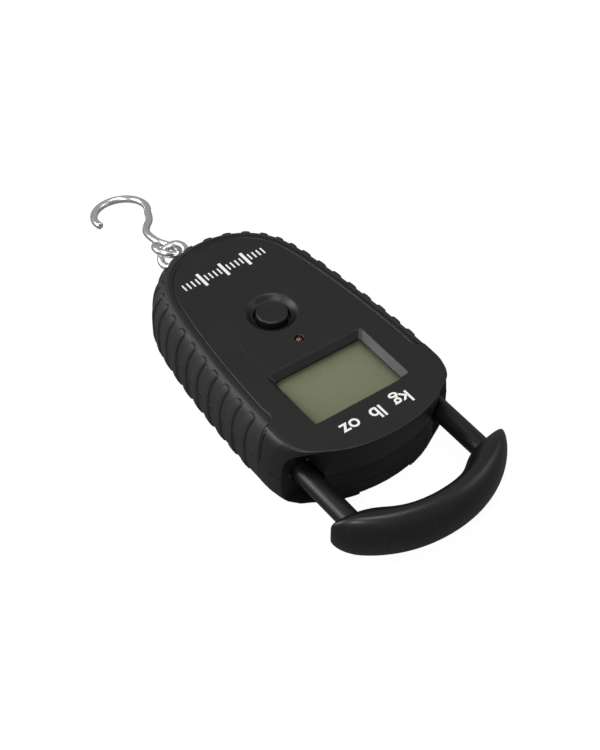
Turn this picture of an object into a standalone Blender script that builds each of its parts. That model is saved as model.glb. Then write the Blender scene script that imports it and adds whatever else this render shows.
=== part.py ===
"""Digital fish scale: a hand-held hanging scale with a sliding grip and a steel hook.

Frame: the scale lies on its back, display up.  X is across the body, +Y runs from the
grip to the hook, +Z points out of the display.  The origin is the middle of the whole
length, on the plane of the flat back.  Everything is in metres; MM turns millimetres
into metres.
"""
import math

import bmesh
import bpy
from mathutils import Matrix, Vector

MM = 0.001

# ---------------------------------------------------------------- driving sizes
GAP = 0.3 * MM                      # clearance between separate pieces
SHELL_WALL = 2.2 * MM
RUBBER = 2.0 * MM                   # thickness of the rubber grip band

BODY_HALF_WIDTH = 39.1 * MM         # at the seam, the widest level
BODY_HEIGHT = 30.0 * MM
SEAM_Z = 13.7 * MM                  # parting plane, also the height of the rods
HANDLE_END_Y = -76.3 * MM           # middle of the end wall beside the grip, at the seam
HOOK_END_Y = 46.9 * MM              # far end of the body, at the seam
SIDE_TAPER = 5.8 * MM               # how much narrower each side is at the hook end
END_ARC_RADIUS = 57.0 * MM          # plan radius of the bulging end wall
TOP_INSET = 4.8 * MM                # seam outline to the top edge of the rubber
BACK_INSET = 5.0 * MM               # seam outline to the flat back
END_OVERHANG = 3.6 * MM             # the face overhangs the end wall by this much
BACK_SHOULDER = 8.0 * MM            # height of the rounding along the back
FACE_LIP = 1.3 * MM                 # rubber width that shows on the face
BAND_START_Y = -51.0 * MM          # the rubber band begins here and runs to the hook end
REAR_BAND_Z = 2.4 * MM              # lower edge of the rear rubber band

ROD_X = 29.15 * MM
ROD_RADIUS = 4.0 * MM
ROD_OUTER_Y = -101.0 * MM
ROD_INNER_Y = -45.1 * MM
GRIP_TRAVEL = 20.0 * MM
ROD_HOLE_CLEARANCE = 1.0 * MM
RECESS_INNER_X = 25.8 * MM          # the corners step back round the rods from here outwards
RECESS_FLOOR_Y = -62.9 * MM
RECESS_TOP_Z = 28.8 * MM
RECESS_BOTTOM_Z = 1.2 * MM
RECESS_SWEEP = 10.0 * MM            # radius between the recess floor and the face
RECESS_WALL = 1.8 * MM
BUSH_WALL = 1.3 * MM
BUSH_LENGTH = 9.5 * MM
COLLAR_WALL = 0.6 * MM
COLLAR_LENGTH = 3.0 * MM

GRIP_ARC_RADIUS = 55.0 * MM
GRIP_MIDDLE_Y = -108.4 * MM
GRIP_HALF_SPAN = 38.3 * MM
GRIP_HALF_DEPTH = 6.1 * MM
GRIP_HALF_HEIGHT = 10.5 * MM
GRIP_SWELL = 4.0 * MM               # extra depth on the inner side, round each rod
GRIP_SWELL_WIDTH = 6.0 * MM

DISPLAY_Y = -46.1 * MM
BEZEL_WIDTH = 43.0 * MM
BEZEL_DEPTH = 29.8 * MM
VIEW_WIDTH = 38.6 * MM
VIEW_DEPTH = 25.4 * MM
BEZEL_DROP = 2.7 * MM
WINDOW_MARGIN = 1.5 * MM
WINDOW_LIP = 0.4 * MM               # bezel material over the window's edge
WINDOW_THICKNESS = 1.2 * MM
LCD_WIDTH = 42.6 * MM
LCD_DEPTH = 28.6 * MM
LCD_THICKNESS = 2.2 * MM
CARRIER_WALL = 1.0 * MM

BOARD_TOP_Z = 20.2 * MM
BOARD_THICKNESS = 1.6 * MM
BOARD_HALF_WIDTH = 22.8 * MM
BOARD_END_Y = 1.9 * MM

LED_Y = -22.4 * MM
LED_RADIUS = 1.45 * MM
BUTTON_Y = -5.3 * MM
BUTTON_RADIUS = 6.1 * MM
BUTTON_CLEARANCE = 0.95 * MM
BUTTON_FLANGE = 1.15 * MM            # how far the flange reaches under the hole's edge
DISH_SLOPE = 3.2 * MM
DISH_DEPTH = 2.2 * MM
BUTTON_TRAVEL = 0.7 * MM

CELL_RADIUS = 5.25 * MM
CELL_LENGTH = 44.5 * MM
CELL_SPACING = 0.7 * MM
CELL_INNER_Y = -20.5 * MM
SPRING_LENGTH = 2.4 * MM
DOOR_HALF_WIDTH = 20.7 * MM
DOOR_HINGE_Y = -16.0 * MM
DOOR_THICKNESS = 1.8 * MM
DOOR_LIP_Z = 6.2 * MM
BOX_WALL = 1.7 * MM
THUMB_HALF_WIDTH = 11.6 * MM
THUMB_HEIGHT = 0.9 * MM

LOAD_AXIS_Z = 9.0 * MM              # height of the hook's eye bolt
CELL_BEAM_Y0 = -10.1 * MM
CELL_BEAM_END_MARGIN = 13.0 * MM    # load cell to the hook end of the body
CELL_BEAM_HALF_WIDTH = 13.0 * MM
CELL_BEAM_THICKNESS = 8.0 * MM
CELL_SLOT = 2.0 * MM
EYE_SHANK_RADIUS = 2.0 * MM
EYE_BUSH_RADIUS = 3.4 * MM
NUT_RADIUS = 3.8 * MM

WIRE_RADIUS = 1.5 * MM              # hook and eye are bent from the same wire
EYE_RING_RADIUS = 5.4 * MM
EYE_REACH = 15.5 * MM               # hook end of the body to the middle of the eye
EYE_RING_TILT = math.radians(-24.0)
HOOK_EYE_RADIUS = 5.0 * MM
HOOK_EYE_OFFSET = 4.5 * MM
HOOK_EYE_TILT = math.radians(24.0)
HOOK_ARC_RADIUS = 11.2 * MM
HOOK_ARC_CENTRE = 35.6 * MM
HOOK_TABLE_GAP = 0.05 * MM          # the hook's round end to the table that the scale lies on
# The hook swings freely, so it droops until its round end lies on the table.
HOOK_DROOP = -math.asin((LOAD_AXIS_Z - WIRE_RADIUS - HOOK_TABLE_GAP)
                        / (HOOK_ARC_CENTRE + HOOK_ARC_RADIUS))

CASE_SCREWS = ((16.7 * MM, -66.9 * MM), (25.0 * MM, 15.9 * MM))
BOARD_SCREWS = ((20.0 * MM, -25.1 * MM), (20.0 * MM, -2.1 * MM))
SCREW_RADIUS = 1.0 * MM
SCREW_HEAD_RADIUS = 2.4 * MM

RING_POINTS = 56                    # points in one level of the body's outline


# ---------------------------------------------------------------- sizes that follow
ROD_HOLE_RADIUS = ROD_RADIUS + ROD_HOLE_CLEARANCE
BUSH_RADIUS = ROD_RADIUS + GAP + BUSH_WALL
COLLAR_RADIUS = ROD_RADIUS + GAP + COLLAR_WALL
BUTTON_HOLE_RADIUS = BUTTON_RADIUS + BUTTON_CLEARANCE
BUTTON_FLANGE_RADIUS = BUTTON_HOLE_RADIUS + BUTTON_FLANGE
DISH_RADIUS = BUTTON_HOLE_RADIUS + DISH_SLOPE
CELL_PITCH = 2 * CELL_RADIUS + CELL_SPACING
CELL_BEAM_Y1 = HOOK_END_Y - CELL_BEAM_END_MARGIN
EYE_RING_Y = HOOK_END_Y + EYE_REACH
WINDOW_TOP_Z = BODY_HEIGHT - BEZEL_DROP - WINDOW_LIP - GAP
WINDOW_BOTTOM_Z = WINDOW_TOP_Z - WINDOW_THICKNESS
WINDOW_HALF_WIDTH = 0.5 * VIEW_WIDTH + WINDOW_MARGIN
WINDOW_HALF_DEPTH = 0.5 * VIEW_DEPTH + WINDOW_MARGIN
CARRIER_TOP_Z = WINDOW_BOTTOM_Z - 2 * GAP
LCD_TOP_Z = CARRIER_TOP_Z - GAP
LCD_BOTTOM_Z = LCD_TOP_Z - LCD_THICKNESS
STRIP_Y = DISPLAY_Y + 0.5 * LCD_DEPTH - 2.2 * MM
STRIP_HALF_DEPTH = 0.9 * MM


# ---------------------------------------------------------------- small tools
def clear_scene():
    """Start from nothing."""
    for old in list(bpy.data.objects):
        bpy.data.objects.remove(old, do_unlink=True)


def make_material(name, colour, roughness, metallic=0.0):
    """A plain Principled material."""
    material = bpy.data.materials.new(name)
    material.use_nodes = True
    shader = material.node_tree.nodes["Principled BSDF"]
    shader.inputs["Base Color"].default_value = (*colour, 1.0)
    shader.inputs["Roughness"].default_value = roughness
    shader.inputs["Metallic"].default_value = metallic
    return material


def object_from_bmesh(name, mesh_builder):
    """Turn a bmesh into a linked object with outward faces."""
    bmesh.ops.remove_doubles(mesh_builder, verts=mesh_builder.verts, dist=1e-7)
    bmesh.ops.recalc_face_normals(mesh_builder, faces=mesh_builder.faces)
    mesh = bpy.data.meshes.new(name)
    mesh_builder.to_mesh(mesh)
    mesh_builder.free()
    made = bpy.data.objects.new(name, mesh)
    bpy.context.scene.collection.objects.link(made)
    return made


def loft(name, rings):
    """A closed solid through rings of equal length, capped at both ends."""
    builder = bmesh.new()
    levels = [[builder.verts.new(point) for point in ring] for ring in rings]
    count = len(rings[0])
    for lower, upper in zip(levels, levels[1:]):
        for i in range(count):
            j = (i + 1) % count
            builder.faces.new((lower[i], lower[j], upper[j], upper[i]))
    builder.faces.new(list(reversed(levels[0])))
    builder.faces.new(levels[-1])
    bmesh.ops.connect_verts_nonplanar(builder, angle_limit=math.radians(0.01),
                                      faces=builder.faces)
    return object_from_bmesh(name, builder)


def block(x0, x1, y0, y1, z0, z1, name="block"):
    """An axis-aligned box between two corners."""
    outline = ((x0, y0), (x1, y0), (x1, y1), (x0, y1))
    return loft(name, [[Vector((x, y, z)) for x, y in outline] for z in (z0, z1)])


def turned(axis, centre, profile, name="turned", sides=24):
    """A solid of revolution: profile holds (distance along axis, radius) pairs."""
    across = {"X": (Vector((0, 1, 0)), Vector((0, 0, 1))),
              "Y": (Vector((0, 0, 1)), Vector((1, 0, 0))),
              "Z": (Vector((1, 0, 0)), Vector((0, 1, 0)))}[axis]
    along = across[0].cross(across[1])
    centre = Vector(centre)
    rings = []
    for distance, radius in profile:
        ring = []
        for i in range(sides):
            angle = math.tau * i / sides
            offset = across[0] * math.cos(angle) + across[1] * math.sin(angle)
            ring.append(centre + along * distance + offset * radius)
        rings.append(ring)
    return loft(name, rings)


def rod_between(axis, centre, start, end, radius, name="rod", sides=24):
    """A plain cylinder from start to end along the axis."""
    return turned(axis, centre, ((start, radius), (end, radius)), name, sides)


def tube_along(name, points, radius, sides=8, closed=False):
    """A round tube through the points, its frame carried along without twist."""
    count = len(points)
    rings = []
    previous = None
    for i, point in enumerate(points):
        ahead = points[(i + 1) % count] if closed or i < count - 1 else point
        behind = points[i - 1] if closed or i > 0 else point
        tangent = (ahead - behind).normalized()
        if previous is None:
            previous = tangent.orthogonal().normalized()
        side = (previous - tangent * previous.dot(tangent)).normalized()
        previous = side
        up = tangent.cross(side)
        rings.append([point + (side * math.cos(math.tau * k / sides)
                               + up * math.sin(math.tau * k / sides)) * radius
                      for k in range(sides)])
    if not closed:
        return loft(name, rings)
    builder = bmesh.new()
    levels = [[builder.verts.new(point) for point in ring] for ring in rings]
    for i in range(count):
        lower, upper = levels[i], levels[(i + 1) % count]
        for k in range(sides):
            m = (k + 1) % sides
            builder.faces.new((lower[k], lower[m], upper[m], upper[k]))
    return object_from_bmesh(name, builder)


def drop_slivers(mesh):
    """Collapse edges and faces too small to matter, so that later cuts stay closed."""
    builder = bmesh.new()
    builder.from_mesh(mesh)
    bmesh.ops.dissolve_degenerate(builder, edges=builder.edges, dist=0.003 * MM)
    builder.to_mesh(mesh)
    builder.free()


def combine(target, others, operation):
    """Apply exact Booleans one after another and drop the tools."""
    for other in others:
        modifier = target.modifiers.new("combine", "BOOLEAN")
        modifier.operation = operation
        modifier.solver = "EXACT"
        modifier.object = other
        graph = bpy.context.evaluated_depsgraph_get()
        mesh = bpy.data.meshes.new_from_object(target.evaluated_get(graph))
        target.modifiers.clear()
        old = target.data
        target.data = mesh
        drop_slivers(mesh)
        bpy.data.meshes.remove(old)
        bpy.data.objects.remove(other, do_unlink=True)
    return target


def cut(target, *others):
    """Remove the other solids from the target."""
    return combine(target, others, "DIFFERENCE")


def fuse(target, *others):
    """Join the other solids to the target."""
    return combine(target, others, "UNION")


def common(target, *others):
    """Keep what the target shares with the other solids."""
    return combine(target, others, "INTERSECT")


def finish(made, name, material, origin=(0.0, 0.0, 0.0), smooth=True):
    """Name a piece, weld it, dress it, and put its origin where it belongs."""
    builder = bmesh.new()
    builder.from_mesh(made.data)
    bmesh.ops.remove_doubles(builder, verts=builder.verts, dist=0.001 * MM)
    builder.to_mesh(made.data)
    builder.free()
    made.name = name
    made.data.name = name
    made.data.materials.clear()
    made.data.materials.append(material)
    made.data.transform(Matrix.Translation(-Vector(origin)))
    made.location = origin
    if smooth:
        made.data.shade_smooth()
        made.data.set_sharp_from_angle(angle=math.radians(35))
    return made


# ---------------------------------------------------------------- body outline
def smooth_loop(points, count):
    """Evenly parametrised points on a closed Catmull-Rom curve through key points."""
    keys = len(points)
    loop = []
    for i in range(count):
        place = i * keys / count
        k = int(place)
        t = place - k
        p0, p1, p2, p3 = (points[(k + d) % keys] for d in (-1, 0, 1, 2))
        loop.append(0.5 * ((2 * p1) + (p2 - p0) * t + (2 * p0 - 5 * p1 + 4 * p2 - p3) * t * t
                           + (3 * p1 - p0 - 3 * p2 + p3) * t ** 3))
    return loop


def outline_keys(half_width, handle_y, hook_y, corner):
    """Key points of one level: bulged end, rounded corner, tapered side, round far end."""
    def end_arc(x):
        return handle_y + x * x / (2 * END_ARC_RADIUS)

    corner_y = end_arc(half_width - corner)
    shoulder_y = max(handle_y + 11.0 * MM, corner_y + 3 * MM)
    flank_y = max(handle_y + 17.5 * MM, shoulder_y + 5 * MM)
    wide_y = max(handle_y + 24 * MM, flank_y + 5 * MM)
    taper_length = hook_y - 26 * MM - wide_y

    def side(y):
        return half_width - SIDE_TAPER * ((y - wide_y) / taper_length) ** 2

    far_y = hook_y - 26 * MM
    far = side(far_y)
    right = [
        (0.0, handle_y),
        (0.26 * half_width, end_arc(0.26 * half_width)),
        (0.5 * half_width, end_arc(0.5 * half_width)),
        (half_width - corner, corner_y + 0.6 * MM),
        (half_width - 0.25 * corner, shoulder_y),
        (half_width - 0.04 * corner, flank_y),
        (half_width, wide_y),
        (side(wide_y + 16 * MM), wide_y + 16 * MM),
        (side(wide_y + 34 * MM), wide_y + 34 * MM),
        (side(far_y - 24 * MM), far_y - 24 * MM),
        (side(far_y - 10 * MM), far_y - 10 * MM),
        (0.975 * far, far_y + 3 * MM),
        (0.86 * far, far_y + 12.5 * MM),
        (0.64 * far, far_y + 20.0 * MM),
        (0.34 * far, far_y + 24.6 * MM),
        (0.0, hook_y),
    ]
    left = [(-x, y) for x, y in reversed(right[1:-1])]
    return [Vector((x, y)) for x, y in right + left]


SEAM_RING = smooth_loop(outline_keys(BODY_HALF_WIDTH, HANDLE_END_Y, HOOK_END_Y, 11 * MM),
                        RING_POINTS)
TOP_RING = smooth_loop(outline_keys(BODY_HALF_WIDTH - TOP_INSET, HANDLE_END_Y - END_OVERHANG,
                                    HOOK_END_Y - TOP_INSET, 10 * MM), RING_POINTS)
BACK_RING = smooth_loop(outline_keys(BODY_HALF_WIDTH - BACK_INSET, HANDLE_END_Y,
                                     HOOK_END_Y - BACK_INSET, 10 * MM), RING_POINTS)


def body_ring(z, inset=0.0):
    """The body's outline at height z, moved inwards by inset."""
    ring = []
    for seam, top, back in zip(SEAM_RING, TOP_RING, BACK_RING):
        if z >= SEAM_Z:
            rise = min(1.0, (z - SEAM_Z) / (BODY_HEIGHT - SEAM_Z))
            bulge = 1.0 - math.sqrt(max(0.0, 1.0 - rise * rise))
            sideness = min(1.0, max(0.0, (seam.y - HANDLE_END_Y - 4 * MM) / (14 * MM)))
            share = bulge * sideness + rise * (1.0 - sideness)
            ring.append(seam.lerp(top, share))
        else:
            drop = min(1.0, max(0.0, (BACK_SHOULDER - z) / BACK_SHOULDER))
            share = 1.0 - math.sqrt(max(0.0, 1.0 - drop * drop))
            ring.append(seam.lerp(back, share))
    if inset:
        count = len(ring)
        moved = []
        for i, point in enumerate(ring):
            tangent = (ring[(i + 1) % count] - ring[i - 1]).normalized()
            moved.append(point + Vector((-tangent.y, tangent.x)) * inset)
        ring = moved
    return [Vector((point.x, point.y, z)) for point in ring]


def body_solid(name, z0, z1, inset=0.0, below=0.0, above=0.0):
    """The body between two heights, moved inwards by inset (a number or a function of z)."""
    steps = (0.0, 0.5, 1.6, 3.4, 5.6, 8.0, 13.7, 18.0, 21.5, 24.5, 26.8, 28.4, 29.4, 30.0)
    heights = [z0] + [s * MM for s in steps if z0 + 0.2 * MM < s * MM < z1 - 0.2 * MM] + [z1]
    depth = inset if callable(inset) else (lambda z: inset)
    rings = [body_ring(min(z, BODY_HEIGHT), depth(z)) for z in heights]
    if below:
        rings.insert(0, [point - Vector((0, 0, below)) for point in rings[0]])
    if above:
        rings.append([point + Vector((0, 0, above)) for point in rings[-1]])
    return loft(name, rings)


def core_inset(z):
    """Depth of the plastic under the rubber: full thickness low down, a lip at the face."""
    below_face = min(1.0, (BODY_HEIGHT - z) / (3 * MM))
    return FACE_LIP + (RUBBER - FACE_LIP) * below_face


FAR = 200 * MM


def band_void(z0, z1):
    """Space that the rubber band takes out of the shell, open to the outside."""
    void = block(-FAR, FAR, BAND_START_Y, FAR, z0, z1)
    core = body_solid("core", 0.0, BODY_HEIGHT, core_inset, below=1 * MM, above=1 * MM)
    return cut(void, core)


def both_sides(maker):
    """The same tool on the left and on the right."""
    return [maker(-1), maker(1)]


# ---------------------------------------------------------------- housing
def recesses():
    """Corners stepped back round both rods, open to the end and to the side."""
    centre_y = RECESS_FLOOR_Y - RECESS_SWEEP
    centre_z = RECESS_TOP_Z - RECESS_SWEEP
    profile = [(-FAR, RECESS_TOP_Z)]
    for degrees in (0, 18, 36, 54, 72, 90):
        turn = math.radians(degrees)
        profile.append((centre_y + RECESS_SWEEP * math.sin(turn),
                        centre_z + RECESS_SWEEP * math.cos(turn)))
    profile += [(RECESS_FLOOR_Y, RECESS_BOTTOM_Z), (-FAR, RECESS_BOTTOM_Z)]

    def tool(side):
        ends = sorted((side * RECESS_INNER_X, side * FAR))
        return loft("recess", [[Vector((x, y, z)) for y, z in profile] for x in ends])

    return both_sides(tool)


def rod_passages():
    """Rod holes, seats of the guide bushes, and room for the stop collars to travel."""
    seat_start = RECESS_FLOOR_Y + RECESS_WALL - 0.2 * MM
    seat_end = seat_start + BUSH_LENGTH + 3 * GAP
    return both_sides(lambda side: turned("Y", (side * ROD_X, 0, SEAM_Z), (
        (-FAR, ROD_HOLE_RADIUS), (seat_start, ROD_HOLE_RADIUS),
        (seat_start + 0.01 * MM, BUSH_RADIUS + GAP), (seat_end, BUSH_RADIUS + GAP),
        (seat_end + 0.01 * MM, COLLAR_RADIUS + GAP),
        (ROD_INNER_Y + GRIP_TRAVEL + GAP, COLLAR_RADIUS + GAP))))


def bush_ribs(z0, z1, inner_x):
    """Ribs that hold the guide bushes."""
    middle = RECESS_FLOOR_Y + RECESS_WALL + 0.5 * BUSH_LENGTH
    ribs = []
    for side in (-1, 1):
        low, high = sorted((side * inner_x, side * (ROD_X + BUSH_RADIUS)))
        ribs.append(block(low, high, middle - 2 * MM, middle + 2 * MM, z0, z1))
    return ribs


def cavity(z0, z1):
    """Hollow of the housing between two heights, with walls left round the recesses."""
    hollow = body_solid("cavity", z0, z1, RUBBER + SHELL_WALL)
    inner_x = ROD_X - ROD_HOLE_RADIUS - RECESS_WALL

    def wall(side):
        low, high = sorted((side * inner_x, side * (BODY_HALF_WIDTH + 5 * MM)))
        return block(low, high, HANDLE_END_Y - 15 * MM, RECESS_FLOOR_Y + RECESS_WALL,
                     z0 - 1 * MM, z1 + 1 * MM)

    return cut(hollow, *both_sides(wall))


def front_shell():
    """Face half: display bezel, button dish, lamp hole, screw posts."""
    top_wall = 2.0 * MM
    split = SEAM_Z + 0.5 * GAP
    ceiling = BODY_HEIGHT - top_wall
    shell = body_solid("front", split, BODY_HEIGHT)
    cut(shell, band_void(split - 1 * MM, BODY_HEIGHT + 1 * MM))
    cut(shell, *recesses())

    frame_bottom = WINDOW_BOTTOM_Z - GAP
    half_w = WINDOW_HALF_WIDTH + GAP
    half_d = WINDOW_HALF_DEPTH + GAP
    rim = 1.4 * MM
    above = BODY_HEIGHT + 1 * MM
    foot = split + GAP
    hollow = cavity(split - 1 * MM, ceiling)
    kept = [block(-half_w - rim, half_w + rim, DISPLAY_Y - half_d - rim,
                  DISPLAY_Y + half_d + rim, frame_bottom, above),
            rod_between("Z", (0, BUTTON_Y, 0), ceiling - DISH_DEPTH, above,
                        DISH_RADIUS + 1.2 * MM, sides=30)]
    kept += [rod_between("Z", (side * x, y, 0), foot, above, 3.0 * MM, sides=16)
             for x, y in CASE_SCREWS for side in (-1, 1)]
    kept += [rod_between("Z", (side * x, y, 0), BOARD_TOP_Z + GAP, above, 2.6 * MM, sides=16)
             for x, y in BOARD_SCREWS for side in (-1, 1)]
    kept += bush_ribs(foot, above, 24.1 * MM)
    cut(shell, cut(hollow, *kept))

    seat_top = WINDOW_TOP_Z + GAP
    aperture = loft("aperture", [
        [Vector((sx * width, DISPLAY_Y + sy * depth, z))
         for sx, sy in ((-1, -1), (1, -1), (1, 1), (-1, 1))]
        for width, depth, z in (
            (half_w, half_d, frame_bottom - 1 * MM), (half_w, half_d, seat_top),
            (0.5 * VIEW_WIDTH, 0.5 * VIEW_DEPTH, seat_top + 0.001 * MM),
            (0.5 * VIEW_WIDTH, 0.5 * VIEW_DEPTH, BODY_HEIGHT - BEZEL_DROP),
            (0.5 * BEZEL_WIDTH, 0.5 * BEZEL_DEPTH, BODY_HEIGHT + 0.01 * MM),
            (0.5 * BEZEL_WIDTH, 0.5 * BEZEL_DEPTH, above))])
    dish = turned("Z", (0, BUTTON_Y, 0), (
        (ceiling - DISH_DEPTH - 1 * MM, BUTTON_HOLE_RADIUS),
        (BODY_HEIGHT - DISH_DEPTH, BUTTON_HOLE_RADIUS),
        (BODY_HEIGHT + 0.01 * MM, DISH_RADIUS), (above, DISH_RADIUS)), sides=30)
    lamp_hole = rod_between("Z", (0, LED_Y, 0), ceiling - 4 * MM, BODY_HEIGHT + 1 * MM,
                            LED_RADIUS + 0.25 * MM, sides=20)
    cut(shell, aperture, dish, lamp_hole)

    carrier = carrier_half_size()
    clear = block(-carrier[0] - GAP, carrier[0] + GAP, DISPLAY_Y - carrier[1] - GAP,
                  DISPLAY_Y + carrier[1] + GAP, BOARD_TOP_Z - BOARD_THICKNESS - GAP,
                  CARRIER_TOP_Z + 0.5 * GAP)
    box_side = BOX_HALF_WIDTH + BOX_WALL + GAP
    box_room = block(-box_side, box_side, BOX_HANDLE_Y - BOX_WALL - GAP,
                     BOX_INNER_Y + BOX_WALL + GAP, split - 1 * MM, BOX_TOP_Z + BOX_WALL + GAP)
    cut(shell, clear, box_room)
    pilots = [rod_between("Z", (side * x, y, 0), split - 1 * MM, ceiling - 4 * MM,
                          SCREW_RADIUS + GAP, sides=12)
              for x, y in CASE_SCREWS for side in (-1, 1)]
    pilots += [rod_between("Z", (side * x, y, 0), BOARD_TOP_Z - 1 * MM, ceiling - 1 * MM,
                           SCREW_RADIUS + GAP, sides=12)
               for x, y in BOARD_SCREWS for side in (-1, 1)]
    cut(shell, *pilots)
    cut(shell, *rod_passages())
    return shell


def carrier_half_size():
    """Half sizes of the display carrier, which sets the room left for it."""
    return (0.5 * LCD_WIDTH + GAP + CARRIER_WALL, 0.5 * LCD_DEPTH + GAP + CARRIER_WALL)


CELL_X = 0.5 * CELL_PITCH
CELL_Z = DOOR_THICKNESS + 1.1 * MM + CELL_RADIUS
BOX_HALF_WIDTH = CELL_X + CELL_RADIUS + 0.65 * MM
BOX_INNER_Y = CELL_INNER_Y + SPRING_LENGTH + 1.0 * MM
BOX_HANDLE_Y = CELL_INNER_Y - CELL_LENGTH - SPRING_LENGTH - 1.0 * MM
BOX_TOP_Z = CELL_Z + CELL_RADIUS + 0.5 * MM
SUB_FLOOR_Z = 4.1 * MM
LOAD_CELL_BOSS_Z = LOAD_AXIS_Z - 0.5 * CELL_BEAM_THICKNESS - GAP
LOAD_CELL_SCREW_Y = CELL_BEAM_Y0 + 6.0 * MM
LOAD_CELL_SCREW_X = 7.0 * MM


def rear_shell():
    """Back half: battery box, door opening, load-cell seats, screw wells."""
    split = SEAM_Z - 0.5 * GAP
    shell = body_solid("rear", 0.0, split)
    cut(shell, band_void(REAR_BAND_Z, split + 1 * MM))
    cut(shell, *recesses())
    hollow = cavity(SHELL_WALL, split + 1 * MM)
    door_room = DOOR_HALF_WIDTH + GAP
    floor_keep = block(-door_room - 1.8 * MM, door_room + 1.8 * MM, -FAR,
                       DOOR_HINGE_Y + DOOR_THICKNESS + 1.8 * MM, 0.0, SUB_FLOOR_Z)
    cut(shell, cut(hollow, floor_keep))

    fuse(shell, block(-BOX_HALF_WIDTH - BOX_WALL, BOX_HALF_WIDTH + BOX_WALL,
                      BOX_HANDLE_Y - BOX_WALL, BOX_INNER_Y + BOX_WALL,
                      DOOR_THICKNESS + GAP, BOX_TOP_Z + BOX_WALL))
    posts = [rod_between("Z", (side * x, y, 0), 1.0 * MM if y > 0 else DOOR_THICKNESS + 2 * GAP,
                         split - GAP, 3.2 * MM, sides=16)
             for x, y in CASE_SCREWS for side in (-1, 1)]
    posts += [rod_between("Z", (side * LOAD_CELL_SCREW_X, LOAD_CELL_SCREW_Y, 0), 1.0 * MM,
                          LOAD_CELL_BOSS_Z, 4.0 * MM, sides=20) for side in (-1, 1)]
    fuse(shell, *posts)
    fuse(shell, *bush_ribs(1.0 * MM, split - GAP, 21.5 * MM))

    door_pocket = block(-door_room, door_room, -FAR, DOOR_HINGE_Y, -1 * MM, DOOR_LIP_Z + GAP)
    cut(door_pocket, body_solid("inner", DOOR_THICKNESS + GAP, SEAM_Z, door_wall_inset()))
    hinge_room = rod_between("X", (0, DOOR_HINGE_Y, 0.5 * DOOR_THICKNESS), -door_room,
                             door_room, 0.5 * DOOR_THICKNESS + GAP, sides=20)
    hinge_mouth = block(-door_room, door_room, DOOR_HINGE_Y - 1 * MM,
                        DOOR_HINGE_Y + 0.5 * DOOR_THICKNESS + GAP, -1 * MM,
                        0.5 * DOOR_THICKNESS)
    cut(shell, door_pocket, hinge_room, hinge_mouth)
    cut(shell, block(-BOX_HALF_WIDTH, BOX_HALF_WIDTH, BOX_HANDLE_Y, BOX_INNER_Y, -1 * MM,
                     BOX_TOP_Z))

    wells = []
    for x, y in CASE_SCREWS:
        under = 0.0 if y > 0 else DOOR_THICKNESS
        for side in (-1, 1):
            wells.append(rod_between("Z", (side * x, y, 0), -1 * MM, under + 2.8 * MM,
                                     SCREW_HEAD_RADIUS + GAP, sides=20))
            wells.append(rod_between("Z", (side * x, y, 0), under, split + 1 * MM,
                                     SCREW_RADIUS + 1.5 * GAP, sides=12))
    wells += [rod_between("Z", (side * LOAD_CELL_SCREW_X, LOAD_CELL_SCREW_Y, 0), 2.4 * MM,
                          LOAD_CELL_BOSS_Z + 1 * MM, 1.8 * MM, sides=12) for side in (-1, 1)]
    cut(shell, *wells)
    cut(shell, *rod_passages())
    cut(shell, rod_between("Y", (0, 0, LOAD_AXIS_Z), CELL_BEAM_Y1 + 2 * MM, FAR,
                           EYE_BUSH_RADIUS + GAP, sides=24))
    return shell


def door_wall_inset():
    """How deep the battery door reaches into the end wall."""
    return DOOR_THICKNESS + GAP


def battery_door():
    """Panel in the back with a lip up the end wall; it swings about its inner edge."""
    door = body_solid("door", 0.0, SEAM_Z)
    common(door, block(-DOOR_HALF_WIDTH, DOOR_HALF_WIDTH, -FAR, DOOR_HINGE_Y, -1 * MM,
                       DOOR_LIP_Z))
    cut(door, body_solid("inner", DOOR_THICKNESS, SEAM_Z + 1 * MM, DOOR_THICKNESS))
    fuse(door, rod_between("X", (0, DOOR_HINGE_Y, 0.5 * DOOR_THICKNESS), -DOOR_HALF_WIDTH,
                           DOOR_HALF_WIDTH, 0.5 * DOOR_THICKNESS, sides=20))
    thumb = block(-THUMB_HALF_WIDTH, THUMB_HALF_WIDTH, -FAR, HANDLE_END_Y + 2.2 * MM, -1 * MM,
                  THUMB_HEIGHT)
    return cut(door, thumb)


def rubber_band(name, z0, z1):
    """U-shaped rubber round the sides and the hook end, between two heights."""
    band = body_solid(name, z0, z1)
    core = body_solid("core", 0.0, BODY_HEIGHT, lambda z: core_inset(z) - GAP,
                      below=1 * MM, above=1 * MM)
    cut(band, core)
    return cut(band, block(-FAR, FAR, -FAR, BAND_START_Y + GAP, -FAR, FAR))


# ---------------------------------------------------------------- electronics
def display_window():
    """Clear lens under the bezel."""
    return block(-WINDOW_HALF_WIDTH, WINDOW_HALF_WIDTH, DISPLAY_Y - WINDOW_HALF_DEPTH,
                 DISPLAY_Y + WINDOW_HALF_DEPTH, WINDOW_BOTTOM_Z, WINDOW_TOP_Z)


def lcd_carrier():
    """Tray that holds the display panel over the board."""
    half_w, half_d = carrier_half_size()
    tray = block(-half_w, half_w, DISPLAY_Y - half_d, DISPLAY_Y + half_d,
                 BOARD_TOP_Z + GAP, CARRIER_TOP_Z)
    pocket = block(-half_w + CARRIER_WALL, half_w - CARRIER_WALL,
                   DISPLAY_Y - half_d + CARRIER_WALL, DISPLAY_Y + half_d - CARRIER_WALL,
                   LCD_BOTTOM_Z - GAP, CARRIER_TOP_Z + 1 * MM)
    slot = block(-0.5 * LCD_WIDTH + 1.0 * MM, 0.5 * LCD_WIDTH - 1.0 * MM,
                 STRIP_Y - STRIP_HALF_DEPTH - GAP, STRIP_Y + STRIP_HALF_DEPTH + GAP,
                 BOARD_TOP_Z - 1 * MM, LCD_BOTTOM_Z)
    return cut(tray, pocket, slot)


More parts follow.
